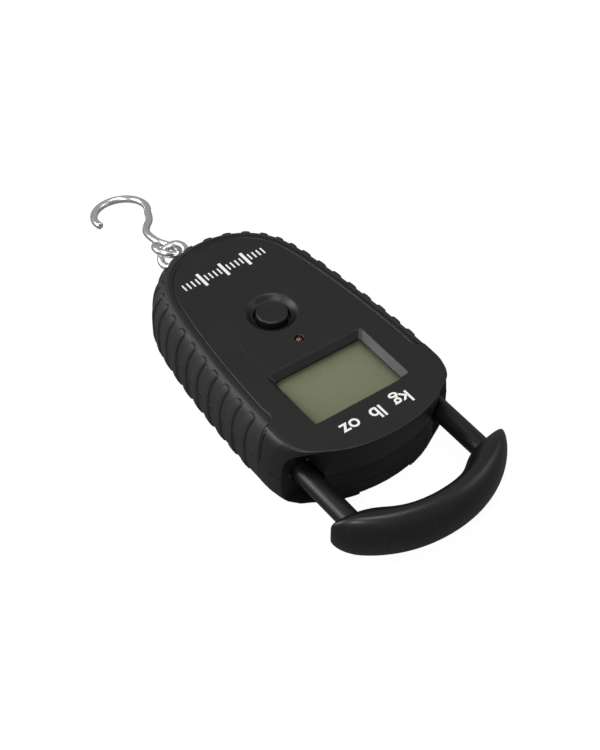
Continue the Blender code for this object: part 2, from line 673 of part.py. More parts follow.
def lcd_panel():
    """Glass sandwich of the display."""
    return block(-0.5 * LCD_WIDTH, 0.5 * LCD_WIDTH, DISPLAY_Y - 0.5 * LCD_DEPTH,
                 DISPLAY_Y + 0.5 * LCD_DEPTH, LCD_BOTTOM_Z, LCD_TOP_Z)


def elastomer_strip():
    """Conductive rubber strip between the board and the display."""
    return block(-0.5 * LCD_WIDTH + 1.3 * MM, 0.5 * LCD_WIDTH - 1.3 * MM,
                 STRIP_Y - STRIP_HALF_DEPTH, STRIP_Y + STRIP_HALF_DEPTH,
                 BOARD_TOP_Z + GAP, LCD_BOTTOM_Z - GAP)


def main_board():
    """Circuit board, hung from four posts of the front shell."""
    half_d = carrier_half_size()[1]
    board = block(-BOARD_HALF_WIDTH, BOARD_HALF_WIDTH, DISPLAY_Y - half_d, BOARD_END_Y,
                  BOARD_TOP_Z - BOARD_THICKNESS, BOARD_TOP_Z)
    holes = [rod_between("Z", (side * x, y, 0), BOARD_TOP_Z - 3 * MM, BOARD_TOP_Z + 1 * MM,
                         SCREW_RADIUS + GAP, sides=12)
             for x, y in BOARD_SCREWS for side in (-1, 1)]
    return cut(board, *holes)


def status_lamp():
    """3 mm lamp with a domed top, a flange and two legs."""
    top = BODY_HEIGHT + 0.3 * MM
    base = BODY_HEIGHT - 3.4 * MM
    dome = [(top - LED_RADIUS * (1 - math.cos(math.radians(a))),
             LED_RADIUS * math.sin(math.radians(a))) for a in (82, 62, 42, 20)]
    lamp = turned("Z", (0, LED_Y, 0), [
        (base, LED_RADIUS + 0.4 * MM), (base + 0.8 * MM, LED_RADIUS + 0.4 * MM),
        (base + 0.801 * MM, LED_RADIUS), (top - LED_RADIUS, LED_RADIUS)] + dome, sides=20)
    legs = both_sides(lambda side: block(side * 0.9 * MM - 0.25 * MM, side * 0.9 * MM + 0.25 * MM,
                                         LED_Y - 0.25 * MM, LED_Y + 0.25 * MM,
                                         BOARD_TOP_Z + GAP, base + 0.3 * MM))
    return fuse(lamp, *legs)


BUTTON_SEAT_Z = BODY_HEIGHT - 2.0 * MM - DISH_DEPTH - GAP
BUTTON_POST_Z = 24.2 * MM


def power_button():
    """Round cap with a retaining flange and a post that works the switch."""
    top = BODY_HEIGHT + 0.2 * MM
    edge = 0.6 * MM
    cap = turned("Z", (0, BUTTON_Y, 0), (
        (BUTTON_SEAT_Z - 0.8 * MM, BUTTON_FLANGE_RADIUS), (BUTTON_SEAT_Z, BUTTON_FLANGE_RADIUS),
        (BUTTON_SEAT_Z + 0.001 * MM, BUTTON_RADIUS), (top - edge, BUTTON_RADIUS),
        (top - 0.3 * edge, BUTTON_RADIUS - 0.3 * edge), (top, BUTTON_RADIUS - edge)), sides=30)
    post = rod_between("Z", (0, BUTTON_Y, 0), BUTTON_POST_Z, BUTTON_SEAT_Z, 2.0 * MM, sides=20)
    return fuse(cap, post)


SWITCH_TOP_Z = BUTTON_POST_Z - 0.7 * MM
PLUNGER_RADIUS = 1.5 * MM


def tact_switch():
    """Square switch under the button, bored for its plunger."""
    half = 3.0 * MM
    case = block(-half, half, BUTTON_Y - half, BUTTON_Y + half, BOARD_TOP_Z + GAP, SWITCH_TOP_Z)
    bore = rod_between("Z", (0, BUTTON_Y, 0), BOARD_TOP_Z + 3 * GAP, SWITCH_TOP_Z + 1 * MM,
                       PLUNGER_RADIUS + GAP, sides=20)
    return cut(case, bore)


def switch_plunger():
    """Round plunger that the button's post pushes."""
    return rod_between("Z", (0, BUTTON_Y, 0), BOARD_TOP_Z + 4 * GAP + BUTTON_TRAVEL,
                       BUTTON_POST_Z - GAP, PLUNGER_RADIUS, sides=20)


def controller_chip():
    """Square chip on the display side of the board."""
    half = 3.5 * MM
    chip_y = LED_Y + 7.0 * MM
    return block(9.0 * MM - half, 9.0 * MM + half, chip_y - half, chip_y + half,
                 BOARD_TOP_Z + GAP, BOARD_TOP_Z + GAP + 1.4 * MM)


# ---------------------------------------------------------------- batteries
def battery_cell(side):
    """AAA cell with its cap at one end."""
    body_length = CELL_LENGTH - 1.0 * MM
    direction = side
    middle = CELL_INNER_Y - 0.5 * CELL_LENGTH
    profile = [(-0.5 * CELL_LENGTH, CELL_RADIUS - 0.5 * MM),
               (-0.5 * CELL_LENGTH + 0.4 * MM, CELL_RADIUS),
               (0.5 * CELL_LENGTH - 1.4 * MM, CELL_RADIUS),
               (body_length - 0.5 * CELL_LENGTH, CELL_RADIUS - 0.5 * MM),
               (body_length - 0.5 * CELL_LENGTH + 0.001 * MM, 1.9 * MM),
               (0.5 * CELL_LENGTH, 1.7 * MM)]
    if direction < 0:
        profile = [(-distance, radius) for distance, radius in reversed(profile)]
    return turned("Y", (side * CELL_X, middle, CELL_Z), profile, sides=18)


def contact_plate(x0, x1, y):
    """Thin nickel plate at one end of the battery box."""
    return block(x0, x1, y - 0.2 * MM, y + 0.2 * MM, CELL_Z - 4.2 * MM, CELL_Z + 4.2 * MM)


def battery_spring(side, plate_y, toward):
    """Conical contact spring that presses on a cell's flat end."""
    turns = 3
    steps = 9 * turns
    length = SPRING_LENGTH - 0.4 * MM
    points = []
    for i in range(steps + 1):
        share = i / steps
        angle = math.tau * turns * share
        radius = (3.6 - 1.4 * share) * MM
        points.append(Vector((side * CELL_X + radius * math.cos(angle),
                              plate_y + toward * (0.75 * MM + (length - 0.9 * MM) * share),
                              CELL_Z + radius * math.sin(angle))))
    return tube_along("spring", points, 0.22 * MM, sides=5)


# ---------------------------------------------------------------- weighing gear
def load_cell():
    """Aluminium S-beam: two slots, a window between them, a pocket for the eye-bolt nut."""
    z0 = LOAD_AXIS_Z - 0.5 * CELL_BEAM_THICKNESS
    z1 = LOAD_AXIS_Z + 0.5 * CELL_BEAM_THICKNESS
    low, high = z0 - 1 * MM, z1 + 1 * MM
    half = CELL_BEAM_HALF_WIDTH
    slot_low = CELL_BEAM_Y0 + 14 * MM
    slot_high = CELL_BEAM_Y1 - 16 * MM
    beam = block(-half, half, CELL_BEAM_Y0, CELL_BEAM_Y1, z0, z1)
    tools = [
        block(-half - 1 * MM, half - 5 * MM, slot_low, slot_low + CELL_SLOT, low, high),
        block(-half + 5 * MM, half + 1 * MM, slot_high - CELL_SLOT, slot_high, low, high),
        block(-5 * MM, 5 * MM, slot_low + CELL_SLOT + 2.5 * MM, slot_high - CELL_SLOT - 2.5 * MM,
              low, high),
        block(-5 * MM, 5 * MM, CELL_BEAM_Y1 - 12 * MM, CELL_BEAM_Y1 - 6 * MM, low, high),
        rod_between("Y", (0, 0, LOAD_AXIS_Z), CELL_BEAM_Y1 - 8 * MM, CELL_BEAM_Y1 + 1 * MM,
                    EYE_SHANK_RADIUS + GAP, sides=20),
    ]
    tools += [rod_between("Z", (side * LOAD_CELL_SCREW_X, LOAD_CELL_SCREW_Y, 0), low, high,
                          1.8 * MM, sides=12) for side in (-1, 1)]
    return cut(beam, *tools)


def strain_gauge(wall_y, side):
    """Foil gauge on one wall of the load cell's window."""
    inner = wall_y - side * GAP
    low, high = sorted((inner, inner - side * 0.4 * MM))
    return block(-3.0 * MM, 3.0 * MM, low, high, LOAD_AXIS_Z - 2.5 * MM, LOAD_AXIS_Z + 2.5 * MM)


def machine_screw(x, y, head_z, tip_z, head_radius, radius, upward):
    """Screw along Z with its head at head_z; upward is +1 when the tip points up."""
    head = 1.6 * MM
    profile = [(head_z, head_radius - 0.4 * MM), (head_z + upward * 0.4 * MM, head_radius),
               (head_z + upward * head, head_radius),
               (head_z + upward * (head + 0.001 * MM), radius), (tip_z, radius)]
    if upward < 0:
        profile = list(reversed(profile))
    screw = turned("Z", (x, y, 0), profile, sides=12)
    recess = 0.9 * MM
    low, high = sorted((head_z - upward * 1 * MM, head_z + upward * recess))
    slot_half = 0.35 * MM
    reach = 0.6 * head_radius
    cross = fuse(block(x - reach, x + reach, y - slot_half, y + slot_half, low, high),
                 block(x - slot_half, x + slot_half, y - reach, y + reach, low, high))
    return cut(screw, cross)


def circle_points(radius, count, turn=Matrix.Identity(3), centre=Vector((0, 0, 0))):
    """Points on a turned circle."""
    return [turn @ Vector((radius * math.cos(math.tau * i / count),
                           radius * math.sin(math.tau * i / count), 0)) + centre
            for i in range(count)]


EYE_CENTRE = Vector((0, EYE_RING_Y, LOAD_AXIS_Z))
EYE_TURN = Matrix.Rotation(EYE_RING_TILT, 3, "Y")


def eye_bolt():
    """Closed wire ring on a straight shank that runs back into the load cell."""
    ring = tube_along("ring", circle_points(EYE_RING_RADIUS, 28, EYE_TURN, EYE_CENTRE),
                      WIRE_RADIUS, closed=True)
    shank = turned("Y", (0, 0, LOAD_AXIS_Z), (
        (CELL_BEAM_Y1 - 10.6 * MM, EYE_SHANK_RADIUS),
        (EYE_RING_Y - EYE_RING_RADIUS - 4.0 * MM, EYE_SHANK_RADIUS),
        (EYE_RING_Y - EYE_RING_RADIUS, 1.25 * MM)), sides=20)
    return fuse(ring, shank)


def eye_nut():
    """Nut on the shank, in the load cell's pocket."""
    y1 = CELL_BEAM_Y1 - 6 * MM - GAP
    y0 = y1 - 3.2 * MM
    nut = rod_between("Y", (0, 0, LOAD_AXIS_Z), y0, y1, NUT_RADIUS, sides=6)
    return cut(nut, rod_between("Y", (0, 0, LOAD_AXIS_Z), y0 - 1 * MM, y1 + 1 * MM,
                                EYE_SHANK_RADIUS + GAP, sides=20))


def eye_bushing():
    """Nylon sleeve that guides the shank through the end wall."""
    y1 = HOOK_END_Y - 0.4 * MM
    y0 = y1 - 7.0 * MM
    sleeve = rod_between("Y", (0, 0, LOAD_AXIS_Z), y0, y1, EYE_BUSH_RADIUS, sides=24)
    return cut(sleeve, rod_between("Y", (0, 0, LOAD_AXIS_Z), y0 - 1 * MM, y1 + 1 * MM,
                                   EYE_SHANK_RADIUS + GAP, sides=20))


HOOK_EYE_CENTRE = EYE_CENTRE + Vector((0, HOOK_EYE_OFFSET, 0))
HOOK_TURN = Matrix.Rotation(HOOK_DROOP, 3, "X")


def hook_points():
    """Centreline of the hook from its eye to its tip, in the hook's own plane."""
    start = math.radians(-36)
    end = math.radians(191)
    neck = [(0.0, HOOK_EYE_RADIUS / MM), (0.0, 9.0), (0.0, 13.0), (0.7, 16.8), (3.0, 20.1),
            (6.4, 23.6)]
    keys = [Vector((x * MM, y * MM, 0)) for x, y in neck]
    steps = 15
    keys += [Vector((HOOK_ARC_RADIUS * math.cos(start + (end - start) * i / steps),
                     HOOK_ARC_CENTRE + HOOK_ARC_RADIUS * math.sin(start + (end - start) * i / steps),
                     0)) for i in range(steps + 1)]
    points = []
    for k in range(len(keys) - 1):
        p0, p1, p2, p3 = (keys[min(max(k + d, 0), len(keys) - 1)] for d in (-1, 0, 1, 2))
        for t in (0.0, 0.5):
            points.append(0.5 * ((2 * p1) + (p2 - p0) * t + (2 * p0 - 5 * p1 + 4 * p2 - p3) * t * t
                                 + (3 * p1 - p0 - 3 * p2 + p3) * t ** 3))
    points.append(keys[-1])
    return points


def hook():
    """Round wire hook with a closed eye linked through the eye bolt."""
    eye_turn = HOOK_TURN @ Matrix.Rotation(HOOK_EYE_TILT, 3, "Y")
    ring = tube_along("ring", circle_points(HOOK_EYE_RADIUS, 28, eye_turn, HOOK_EYE_CENTRE),
                      WIRE_RADIUS, closed=True)
    path = [HOOK_TURN @ point + HOOK_EYE_CENTRE for point in hook_points()]
    return fuse(tube_along("wire", path, WIRE_RADIUS), ring)


# ---------------------------------------------------------------- sliding grip
def grip_section(x):
    """Outer and inner half depth and half height of the grip at a distance x from its middle."""
    share = min(1.0, abs(x) / GRIP_HALF_SPAN)
    outer = GRIP_HALF_DEPTH * math.sqrt(max(0.0, 1.0 - share ** 2.6))
    from_rod = (abs(x) - ROD_X + 2 * MM) / GRIP_SWELL_WIDTH
    inner = outer + GRIP_SWELL * math.exp(-from_rod * from_rod)
    round_end = math.sqrt(max(0.0, 1.0 - max(0.0, (share - 0.78) / 0.22) ** 2))
    height = GRIP_HALF_HEIGHT * (1.0 - 0.16 * share ** 3) * (0.35 + 0.65 * round_end)
    return max(outer, 0.5 * MM), max(inner, 0.5 * MM), height


def handle_grip():
    """Crescent grip, bored for both rods."""
    stations = 25
    sides = 16
    rings = []
    for i in range(stations):
        x = GRIP_HALF_SPAN * math.sin(0.5 * math.pi * (2 * i / (stations - 1) - 1))
        angle = math.asin(x / GRIP_ARC_RADIUS)
        centre = Vector((x, GRIP_MIDDLE_Y + GRIP_ARC_RADIUS * (1 - math.cos(angle)), SEAM_Z))
        outward = Vector((math.sin(angle), -math.cos(angle), 0))
        outer, inner, height = grip_section(x)
        ring = []
        for k in range(sides):
            turn = math.tau * k / sides
            depth = outer if math.cos(turn) > 0 else inner
            ring.append(centre + outward * depth * math.cos(turn)
                        + Vector((0, 0, height * math.sin(turn))))
        rings.append(ring)
    grip = loft("grip", rings)
    bores = both_sides(lambda side: rod_between(
        "Y", (side * ROD_X, 0, SEAM_Z), ROD_OUTER_Y - GAP, RECESS_FLOOR_Y,
        ROD_RADIUS + GAP, sides=20))
    return cut(grip, *bores)


def slide_rod(side):
    """Straight rod with a chamfered inner end."""
    return turned("Y", (side * ROD_X, 0, SEAM_Z), (
        (ROD_OUTER_Y, ROD_RADIUS), (ROD_INNER_Y - 0.8 * MM, ROD_RADIUS),
        (ROD_INNER_Y, ROD_RADIUS - 0.8 * MM)), sides=20)


def sleeve(side, y0, length, outer):
    """Plain ring round a rod."""
    centre = (side * ROD_X, 0, SEAM_Z)
    ring = rod_between("Y", centre, y0, y0 + length, outer, sides=20)
    return cut(ring, rod_between("Y", centre, y0 - 1 * MM, y0 + length + 1 * MM,
                                 ROD_RADIUS + GAP, sides=20))


# ---------------------------------------------------------------- assembly
def build():
    """Make every piece once, in the order it goes together."""
    clear_scene()
    face_plastic = make_material("face_plastic", (0.022, 0.022, 0.023), 0.38)
    case_plastic = make_material("case_plastic", (0.018, 0.018, 0.019), 0.5)
    rubber = make_material("rubber", (0.045, 0.045, 0.047), 0.85)
    grip_plastic = make_material("grip_plastic", (0.016, 0.016, 0.017), 0.42)
    rod_black = make_material("rod_black", (0.02, 0.02, 0.021), 0.35)
    steel = make_material("steel", (0.62, 0.62, 0.62), 0.18, 1.0)
    aluminium = make_material("aluminium", (0.75, 0.76, 0.77), 0.35, 1.0)
    nickel = make_material("nickel", (0.66, 0.62, 0.55), 0.3, 1.0)
    nylon = make_material("nylon", (0.72, 0.71, 0.68), 0.5)
    window_clear = make_material("window_clear", (0.8, 0.82, 0.78), 0.05)
    lcd_glass = make_material("lcd_glass", (0.24, 0.25, 0.17), 0.2)
    board_green = make_material("board_green", (0.02, 0.16, 0.06), 0.45)
    lamp_red = make_material("lamp_red", (0.6, 0.03, 0.02), 0.15)
    cell_wrap = make_material("cell_wrap", (0.05, 0.09, 0.3), 0.3)
    chip_black = make_material("chip_black", (0.03, 0.03, 0.03), 0.5)
    gauge_foil = make_material("gauge_foil", (0.6, 0.35, 0.12), 0.4)

    finish(front_shell(), "front_shell", face_plastic)
    finish(rear_shell(), "rear_shell", case_plastic)
    finish(rubber_band("front", SEAM_Z + 0.5 * GAP, BODY_HEIGHT), "front_rubber_grip", rubber)
    rear_band = rubber_band("rear", REAR_BAND_Z + GAP, SEAM_Z - 0.5 * GAP)
    cut(rear_band, rod_between("Y", (0, 0, LOAD_AXIS_Z), CELL_BEAM_Y1, FAR,
                               EYE_BUSH_RADIUS + GAP, sides=24))
    finish(rear_band, "rear_rubber_grip", rubber)
    finish(battery_door(), "battery_door", case_plastic,
           (0, DOOR_HINGE_Y, 0.5 * DOOR_THICKNESS))

    finish(display_window(), "display_window", window_clear, smooth=False)
    finish(lcd_panel(), "lcd_panel", lcd_glass, smooth=False)
    finish(lcd_carrier(), "lcd_carrier", nylon, smooth=False)
    finish(elastomer_strip(), "elastomer_strip", rubber, smooth=False)
    finish(main_board(), "main_board", board_green, smooth=False)
    finish(controller_chip(), "controller_chip", chip_black, smooth=False)
    finish(status_lamp(), "status_lamp", lamp_red)
    finish(tact_switch(), "tact_switch", chip_black, smooth=False)
    button_origin = (0, BUTTON_Y, BODY_HEIGHT)
    finish(switch_plunger(), "switch_plunger", nylon, button_origin)
    finish(power_button(), "power_button", face_plastic, button_origin)

    plate_inner = BOX_INNER_Y - 0.4 * MM
    plate_handle = BOX_HANDLE_Y + 0.4 * MM
    reach = 0.5 * CELL_PITCH - 0.8 * MM
    for side, label in ((-1, "left"), (1, "right")):
        finish(battery_cell(side), f"battery_{label}", cell_wrap)
        finish(contact_plate(side * CELL_X - reach, side * CELL_X + reach, plate_inner),
               f"contact_plate_{label}", nickel, smooth=False)
    finish(contact_plate(-CELL_X - reach, CELL_X + reach, plate_handle),
           "contact_plate_bridge", nickel, smooth=False)
    finish(battery_spring(1, plate_handle, 1), "battery_spring_handle_end", nickel)
    finish(battery_spring(-1, plate_inner, -1), "battery_spring_inner_end", nickel)

    finish(load_cell(), "load_cell", aluminium, smooth=False)
    window_low = CELL_BEAM_Y0 + 14 * MM + CELL_SLOT + 2.5 * MM
    window_high = CELL_BEAM_Y1 - 16 * MM - CELL_SLOT - 2.5 * MM
    finish(strain_gauge(window_low, -1), "strain_gauge_inner", gauge_foil, smooth=False)
    finish(strain_gauge(window_high, 1), "strain_gauge_outer", gauge_foil, smooth=False)
    head_top = LOAD_AXIS_Z + 0.5 * CELL_BEAM_THICKNESS + GAP + 1.6 * MM
    for side, label in ((-1, "left"), (1, "right")):
        finish(machine_screw(side * LOAD_CELL_SCREW_X, LOAD_CELL_SCREW_Y, head_top,
                             2.7 * MM, 3.0 * MM, 1.5 * MM, -1), f"load_cell_screw_{label}", steel)

    swivel_origin = (0, HOOK_END_Y, LOAD_AXIS_Z)
    finish(eye_bolt(), "eye_bolt", steel, swivel_origin)
    finish(eye_nut(), "eye_bolt_nut", steel, swivel_origin)
    finish(eye_bushing(), "eye_bushing", nylon)
    finish(hook(), "hook", steel, tuple(EYE_CENTRE))

    bush_y = RECESS_FLOOR_Y + RECESS_WALL + GAP
    collar_y = bush_y + BUSH_LENGTH + GAP
    slide_origin = (0, RECESS_FLOOR_Y, SEAM_Z)
    finish(handle_grip(), "handle_grip", grip_plastic, slide_origin)
    for side, label in ((-1, "left"), (1, "right")):
        finish(slide_rod(side), f"slide_rod_{label}", rod_black, slide_origin)
        finish(sleeve(side, collar_y, COLLAR_LENGTH, COLLAR_RADIUS), f"stop_collar_{label}",
               steel, slide_origin)
        finish(sleeve(side, bush_y, BUSH_LENGTH, BUSH_RADIUS), f"guide_bush_{label}", nylon)

    number = 0
    for x, y in CASE_SCREWS:
        head = 0.7 * MM if y > 0 else DOOR_THICKNESS + 0.7 * MM
        for side in (-1, 1):
            number += 1
            finish(machine_screw(side * x, y, head, 22.0 * MM, SCREW_HEAD_RADIUS, SCREW_RADIUS,
                                 1), f"case_screw_{number}", steel)
    number = 0
    for x, y in BOARD_SCREWS:
        head = BOARD_TOP_Z - BOARD_THICKNESS - GAP - 1.6 * MM
        for side in (-1, 1):
            number += 1
            finish(machine_screw(side * x, y, head, 25.0 * MM, 2.0 * MM, SCREW_RADIUS, 1),
                   f"board_screw_{number}", steel)


build()
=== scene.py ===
"""Digital fish scale: the visible pieces, their finishes, the studio and the camera."""

import logging
import math
from dataclasses import dataclass, field
from enum import Enum
from typing import Callable, Dict, Iterable, List, Optional, Sequence, Tuple

import bmesh
import bpy
from mathutils import Matrix, Vector


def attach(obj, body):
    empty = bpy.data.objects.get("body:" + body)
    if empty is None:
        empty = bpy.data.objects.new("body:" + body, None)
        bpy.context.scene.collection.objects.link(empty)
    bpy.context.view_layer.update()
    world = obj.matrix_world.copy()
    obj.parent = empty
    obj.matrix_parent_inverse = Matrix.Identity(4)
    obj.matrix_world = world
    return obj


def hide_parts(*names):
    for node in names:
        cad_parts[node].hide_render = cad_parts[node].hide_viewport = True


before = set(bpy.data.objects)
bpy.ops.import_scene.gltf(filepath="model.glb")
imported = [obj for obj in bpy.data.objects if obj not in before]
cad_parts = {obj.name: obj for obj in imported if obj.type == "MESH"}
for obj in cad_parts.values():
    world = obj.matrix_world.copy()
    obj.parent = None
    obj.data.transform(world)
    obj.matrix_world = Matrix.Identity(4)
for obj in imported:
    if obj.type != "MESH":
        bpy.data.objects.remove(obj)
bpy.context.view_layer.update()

LOG = logging.getLogger("fish_scale")
MM = 0.001
GAP = 0.3 * MM
FAR = 200 * MM

Colour = Tuple[float, float, float]
Point = Tuple[float, float]


# ------------------------------------------------------------------ mesh tools
def make_object(name: str, points: Sequence[Vector], faces: Sequence[Sequence[int]]) -> bpy.types.Object:
    """Link a new mesh object whose faces all point outwards.

    Args:
        name: Name of the object and its mesh.
        points: Vertex positions in metres.
        faces: Vertex indices of each face.

    Returns:
        The linked object, at the origin.
    """
    builder = bmesh.new()
    corners = [builder.verts.new(point) for point in points]
    for face in faces:
        builder.faces.new([corners[i] for i in face])
    bmesh.ops.recalc_face_normals(builder, faces=builder.faces)
    mesh = bpy.data.meshes.new(name)
    builder.to_mesh(mesh)
    builder.free()
    made = bpy.data.objects.new(name, mesh)
    bpy.context.scene.collection.objects.link(made)
    return made


def loft(name: str, rings: Sequence[Sequence[Vector]], closed: bool = False) -> bpy.types.Object:
    """Make a solid through rings of equal length.

    Args:
        name: Name of the object.
        rings: Rings of points, in order along the solid.
        closed: True joins the last ring to the first, False caps both ends.

    Returns:
        The solid.
    """
    count = len(rings[0])
    points = [point for ring in rings for point in ring]
    faces: List[Sequence[int]] = []
    levels = len(rings)
    for level in range(levels if closed else levels - 1):
        low, high = level * count, ((level + 1) % levels) * count
        for i in range(count):
            k = (i + 1) % count
            faces.append((low + i, low + k, high + k, high + i))
    if not closed:
        faces.append(tuple(reversed(range(count))))
        faces.append(tuple(range((levels - 1) * count, levels * count)))
    return make_object(name, points, faces)


def block(x0: float, x1: float, y0: float, y1: float, z0: float, z1: float) -> bpy.types.Object:
    """Make a cutting box between two corners."""
    ring = [(x0, y0), (x1, y0), (x1, y1), (x0, y1)]
    return loft("tool", [[Vector((x, y, z)) for x, y in ring] for z in (z0, z1)])


def turned(name: str, axis: str, centre: Sequence[float], profile: Sequence[Point],
           sides: int = 64) -> bpy.types.Object:
    """Make a round solid by turning a profile about an axis.

    Args:
        name: Name of the object.
        axis: "Y" or "Z", the axis that it is turned about.
        centre: A point on the axis.
        profile: Pairs of distance along the axis and radius, in order.
        sides: Number of sides.

    Returns:
        The solid.
    """
    rings = []
    for along, radius in profile:
        ring = []
        for k in range(sides):
            turn = math.tau * k / sides
            across = (radius * math.cos(turn), radius * math.sin(turn))
            if axis == "Z":
                ring.append(Vector((centre[0] + across[0], centre[1] + across[1], along)))
            else:
                ring.append(Vector((centre[0] + across[0], along, centre[2] + across[1])))
        rings.append(ring)
    return loft(name, rings)


def wire(name: str, path: Sequence[Vector], radii: Sequence[float], sides: int = 24) -> bpy.types.Object:
    """Sweep a round wire along a path, with ends that are slightly rounded.

    Args:
        name: Name of the object.
        path: Points along the wire.
        radii: Radius at each point.
        sides: Number of sides.

    Returns:
        The wire as a closed solid.
    """
    tangents = []
    for i in range(len(path)):
        tangents.append((path[min(i + 1, len(path) - 1)] - path[max(i - 1, 0)]).normalized())
    normal = tangents[0].orthogonal().normalized()
    stations: List[Tuple[Vector, Vector, Vector, float]] = []
    for point, tangent, radius in zip(path, tangents, radii):
        normal = (normal - tangent * normal.dot(tangent)).normalized()
        stations.append((point, normal.copy(), tangent.cross(normal), radius))
    rounding = ((0.0, 0.74), (0.10, 0.88), (0.26, 1.0))
    first, last = stations[0], stations[-1]
    start = [(first[0] + tangents[0] * first[3] * d, first[1], first[2], first[3] * s)
             for d, s in rounding[:-1]]
    finish = [(last[0] - tangents[-1] * last[3] * d, last[1], last[2], last[3] * s)
              for d, s in reversed(rounding[:-1])]
    rings = []
    for point, side, up, radius in start + stations[1:-1] + finish:
        rings.append([point + side * radius * math.cos(math.tau * k / sides)
                      + up * radius * math.sin(math.tau * k / sides) for k in range(sides)])
    return loft(name, rings)


def through(points: Sequence[Vector], steps: int) -> List[Vector]:
    """Smooth curve through points, with a number of steps between each pair."""
    curve = []
    last = len(points) - 1
    for k in range(last):
        p0, p1, p2, p3 = (points[min(max(k + d, 0), last)] for d in (-1, 0, 1, 2))
        for i in range(steps):
            t = i / steps
            curve.append(0.5 * ((2 * p1) + (p2 - p0) * t + (2 * p0 - 5 * p1 + 4 * p2 - p3) * t * t
                                + (3 * p1 - p0 - 3 * p2 + p3) * t ** 3))
    curve.append(points[-1].copy())
    return curve


def bake(made: bpy.types.Object) -> bpy.types.Object:
    """Turn an object's modifiers into plain mesh."""
    depsgraph = bpy.context.evaluated_depsgraph_get()
    mesh = bpy.data.meshes.new_from_object(made.evaluated_get(depsgraph))
    old = made.data
    made.modifiers.clear()
    made.data = mesh
    mesh.name = made.name
    if isinstance(old, bpy.types.Mesh):
        bpy.data.meshes.remove(old)
    return made


def drop(made: bpy.types.Object) -> None:
    """Remove an object and its mesh."""
    mesh = made.data
    bpy.data.objects.remove(made, do_unlink=True)
    if isinstance(mesh, bpy.types.Mesh) and mesh.users == 0:
        bpy.data.meshes.remove(mesh)


def combine(target: bpy.types.Object, tools: Iterable[bpy.types.Object], operation: str) -> bpy.types.Object:
    """Apply an exact Boolean with each tool in turn, and remove the tools.

    Args:
        target: The solid that is changed.
        tools: The solids it is combined with.
        operation: DIFFERENCE, UNION or INTERSECT.

    Returns:
        The changed solid.
    """
    for tool in tools:
        boolean = target.modifiers.new("shape", "BOOLEAN")
        boolean.operation = operation
        boolean.solver = "EXACT"
        boolean.object = tool
        bake(target)
        drop(tool)
    return target


def cut(target: bpy.types.Object, *tools: bpy.types.Object) -> bpy.types.Object:
    """Cut tools out of a solid."""
    return combine(target, tools, "DIFFERENCE")


def fuse(target: bpy.types.Object, *tools: bpy.types.Object) -> bpy.types.Object:
    """Join tools to a solid."""
    return combine(target, tools, "UNION")


def rounded_rectangle(half_x: float, half_y: float, radius: float, centre_y: float, z: float,
                      steps: int = 8) -> List[Vector]:
    """Points of a level rectangle with round corners."""
    ring = []
    for sx, sy, start in ((1, 1, 0), (-1, 1, 90), (-1, -1, 180), (1, -1, 270)):
        for i in range(steps + 1):
            turn = math.radians(start + 90 * i / steps)
            ring.append(Vector((sx * (half_x - radius) + radius * math.cos(turn),
                                centre_y + sy * (half_y - radius) + radius * math.sin(turn), z)))
    return ring


def shade(made: bpy.types.Object, angle: float = 32.0, weighted: bool = True) -> bpy.types.Object:
    """Smooth the shading, but keep edges sharper than an angle in degrees."""
    made.data.shade_smooth()
    made.data.set_sharp_from_angle(angle=math.radians(angle))
    if weighted:
        modifier = made.modifiers.new("normals", "WEIGHTED_NORMAL")
        modifier.keep_sharp = True
        modifier.weight = 100
        bake(made)
    return made


# ------------------------------------------------------------------ shader groups
class NodeGraph:
    """Short way to place and join nodes in a tree."""

    def __init__(self, tree: bpy.types.NodeTree) -> None:
        """Keep the tree that nodes are placed in."""
        self.tree = tree

    def add(self, kind: str, inputs: Optional[Dict[object, object]] = None, **settings: object) -> bpy.types.Node:
        """Place a node.

        Args:
            kind: Type name of the node.
            inputs: Socket name or index, and either a value or a socket to join from.
            settings: Properties of the node.

        Returns:
            The node.
        """
        node = self.tree.nodes.new(kind)
        for key, value in settings.items():
            setattr(node, key, value)
        for key, value in (inputs or {}).items():
            self.feed(node.inputs[key], value)
        return node

    def feed(self, socket: bpy.types.NodeSocket, value: object) -> None:
        """Join a socket to another one, or give it a value."""
        if isinstance(value, bpy.types.NodeSocket):
            self.tree.links.new(value, socket)
        else:
            socket.default_value = value

    def maths(self, operation: str, *values: object, clamp: bool = False) -> bpy.types.NodeSocket:
        """Place a Math node and return its result."""
        node = self.add("ShaderNodeMath", operation=operation, use_clamp=clamp)
        for socket, value in zip(node.inputs, values):
            self.feed(socket, value)
        return node.outputs[0]

    def remap(self, value: object, low: float, high: float, to_low: object, to_high: object,
              smooth: bool = False) -> bpy.types.NodeSocket:
        """Map a value from one range to another and return the result."""
        node = self.add("ShaderNodeMapRange", {"Value": value, "From Min": low, "From Max": high,
                                               "To Min": to_low, "To Max": to_high},
                        interpolation_type="SMOOTHSTEP" if smooth else "LINEAR")
        return node.outputs["Result"]


class Effect(Enum):
    """Shader effects that several finishes share."""

    TONE = "uneven_tone"
    GRAIN = "moulded_grain"
    SCUFFS = "fine_scuffs"


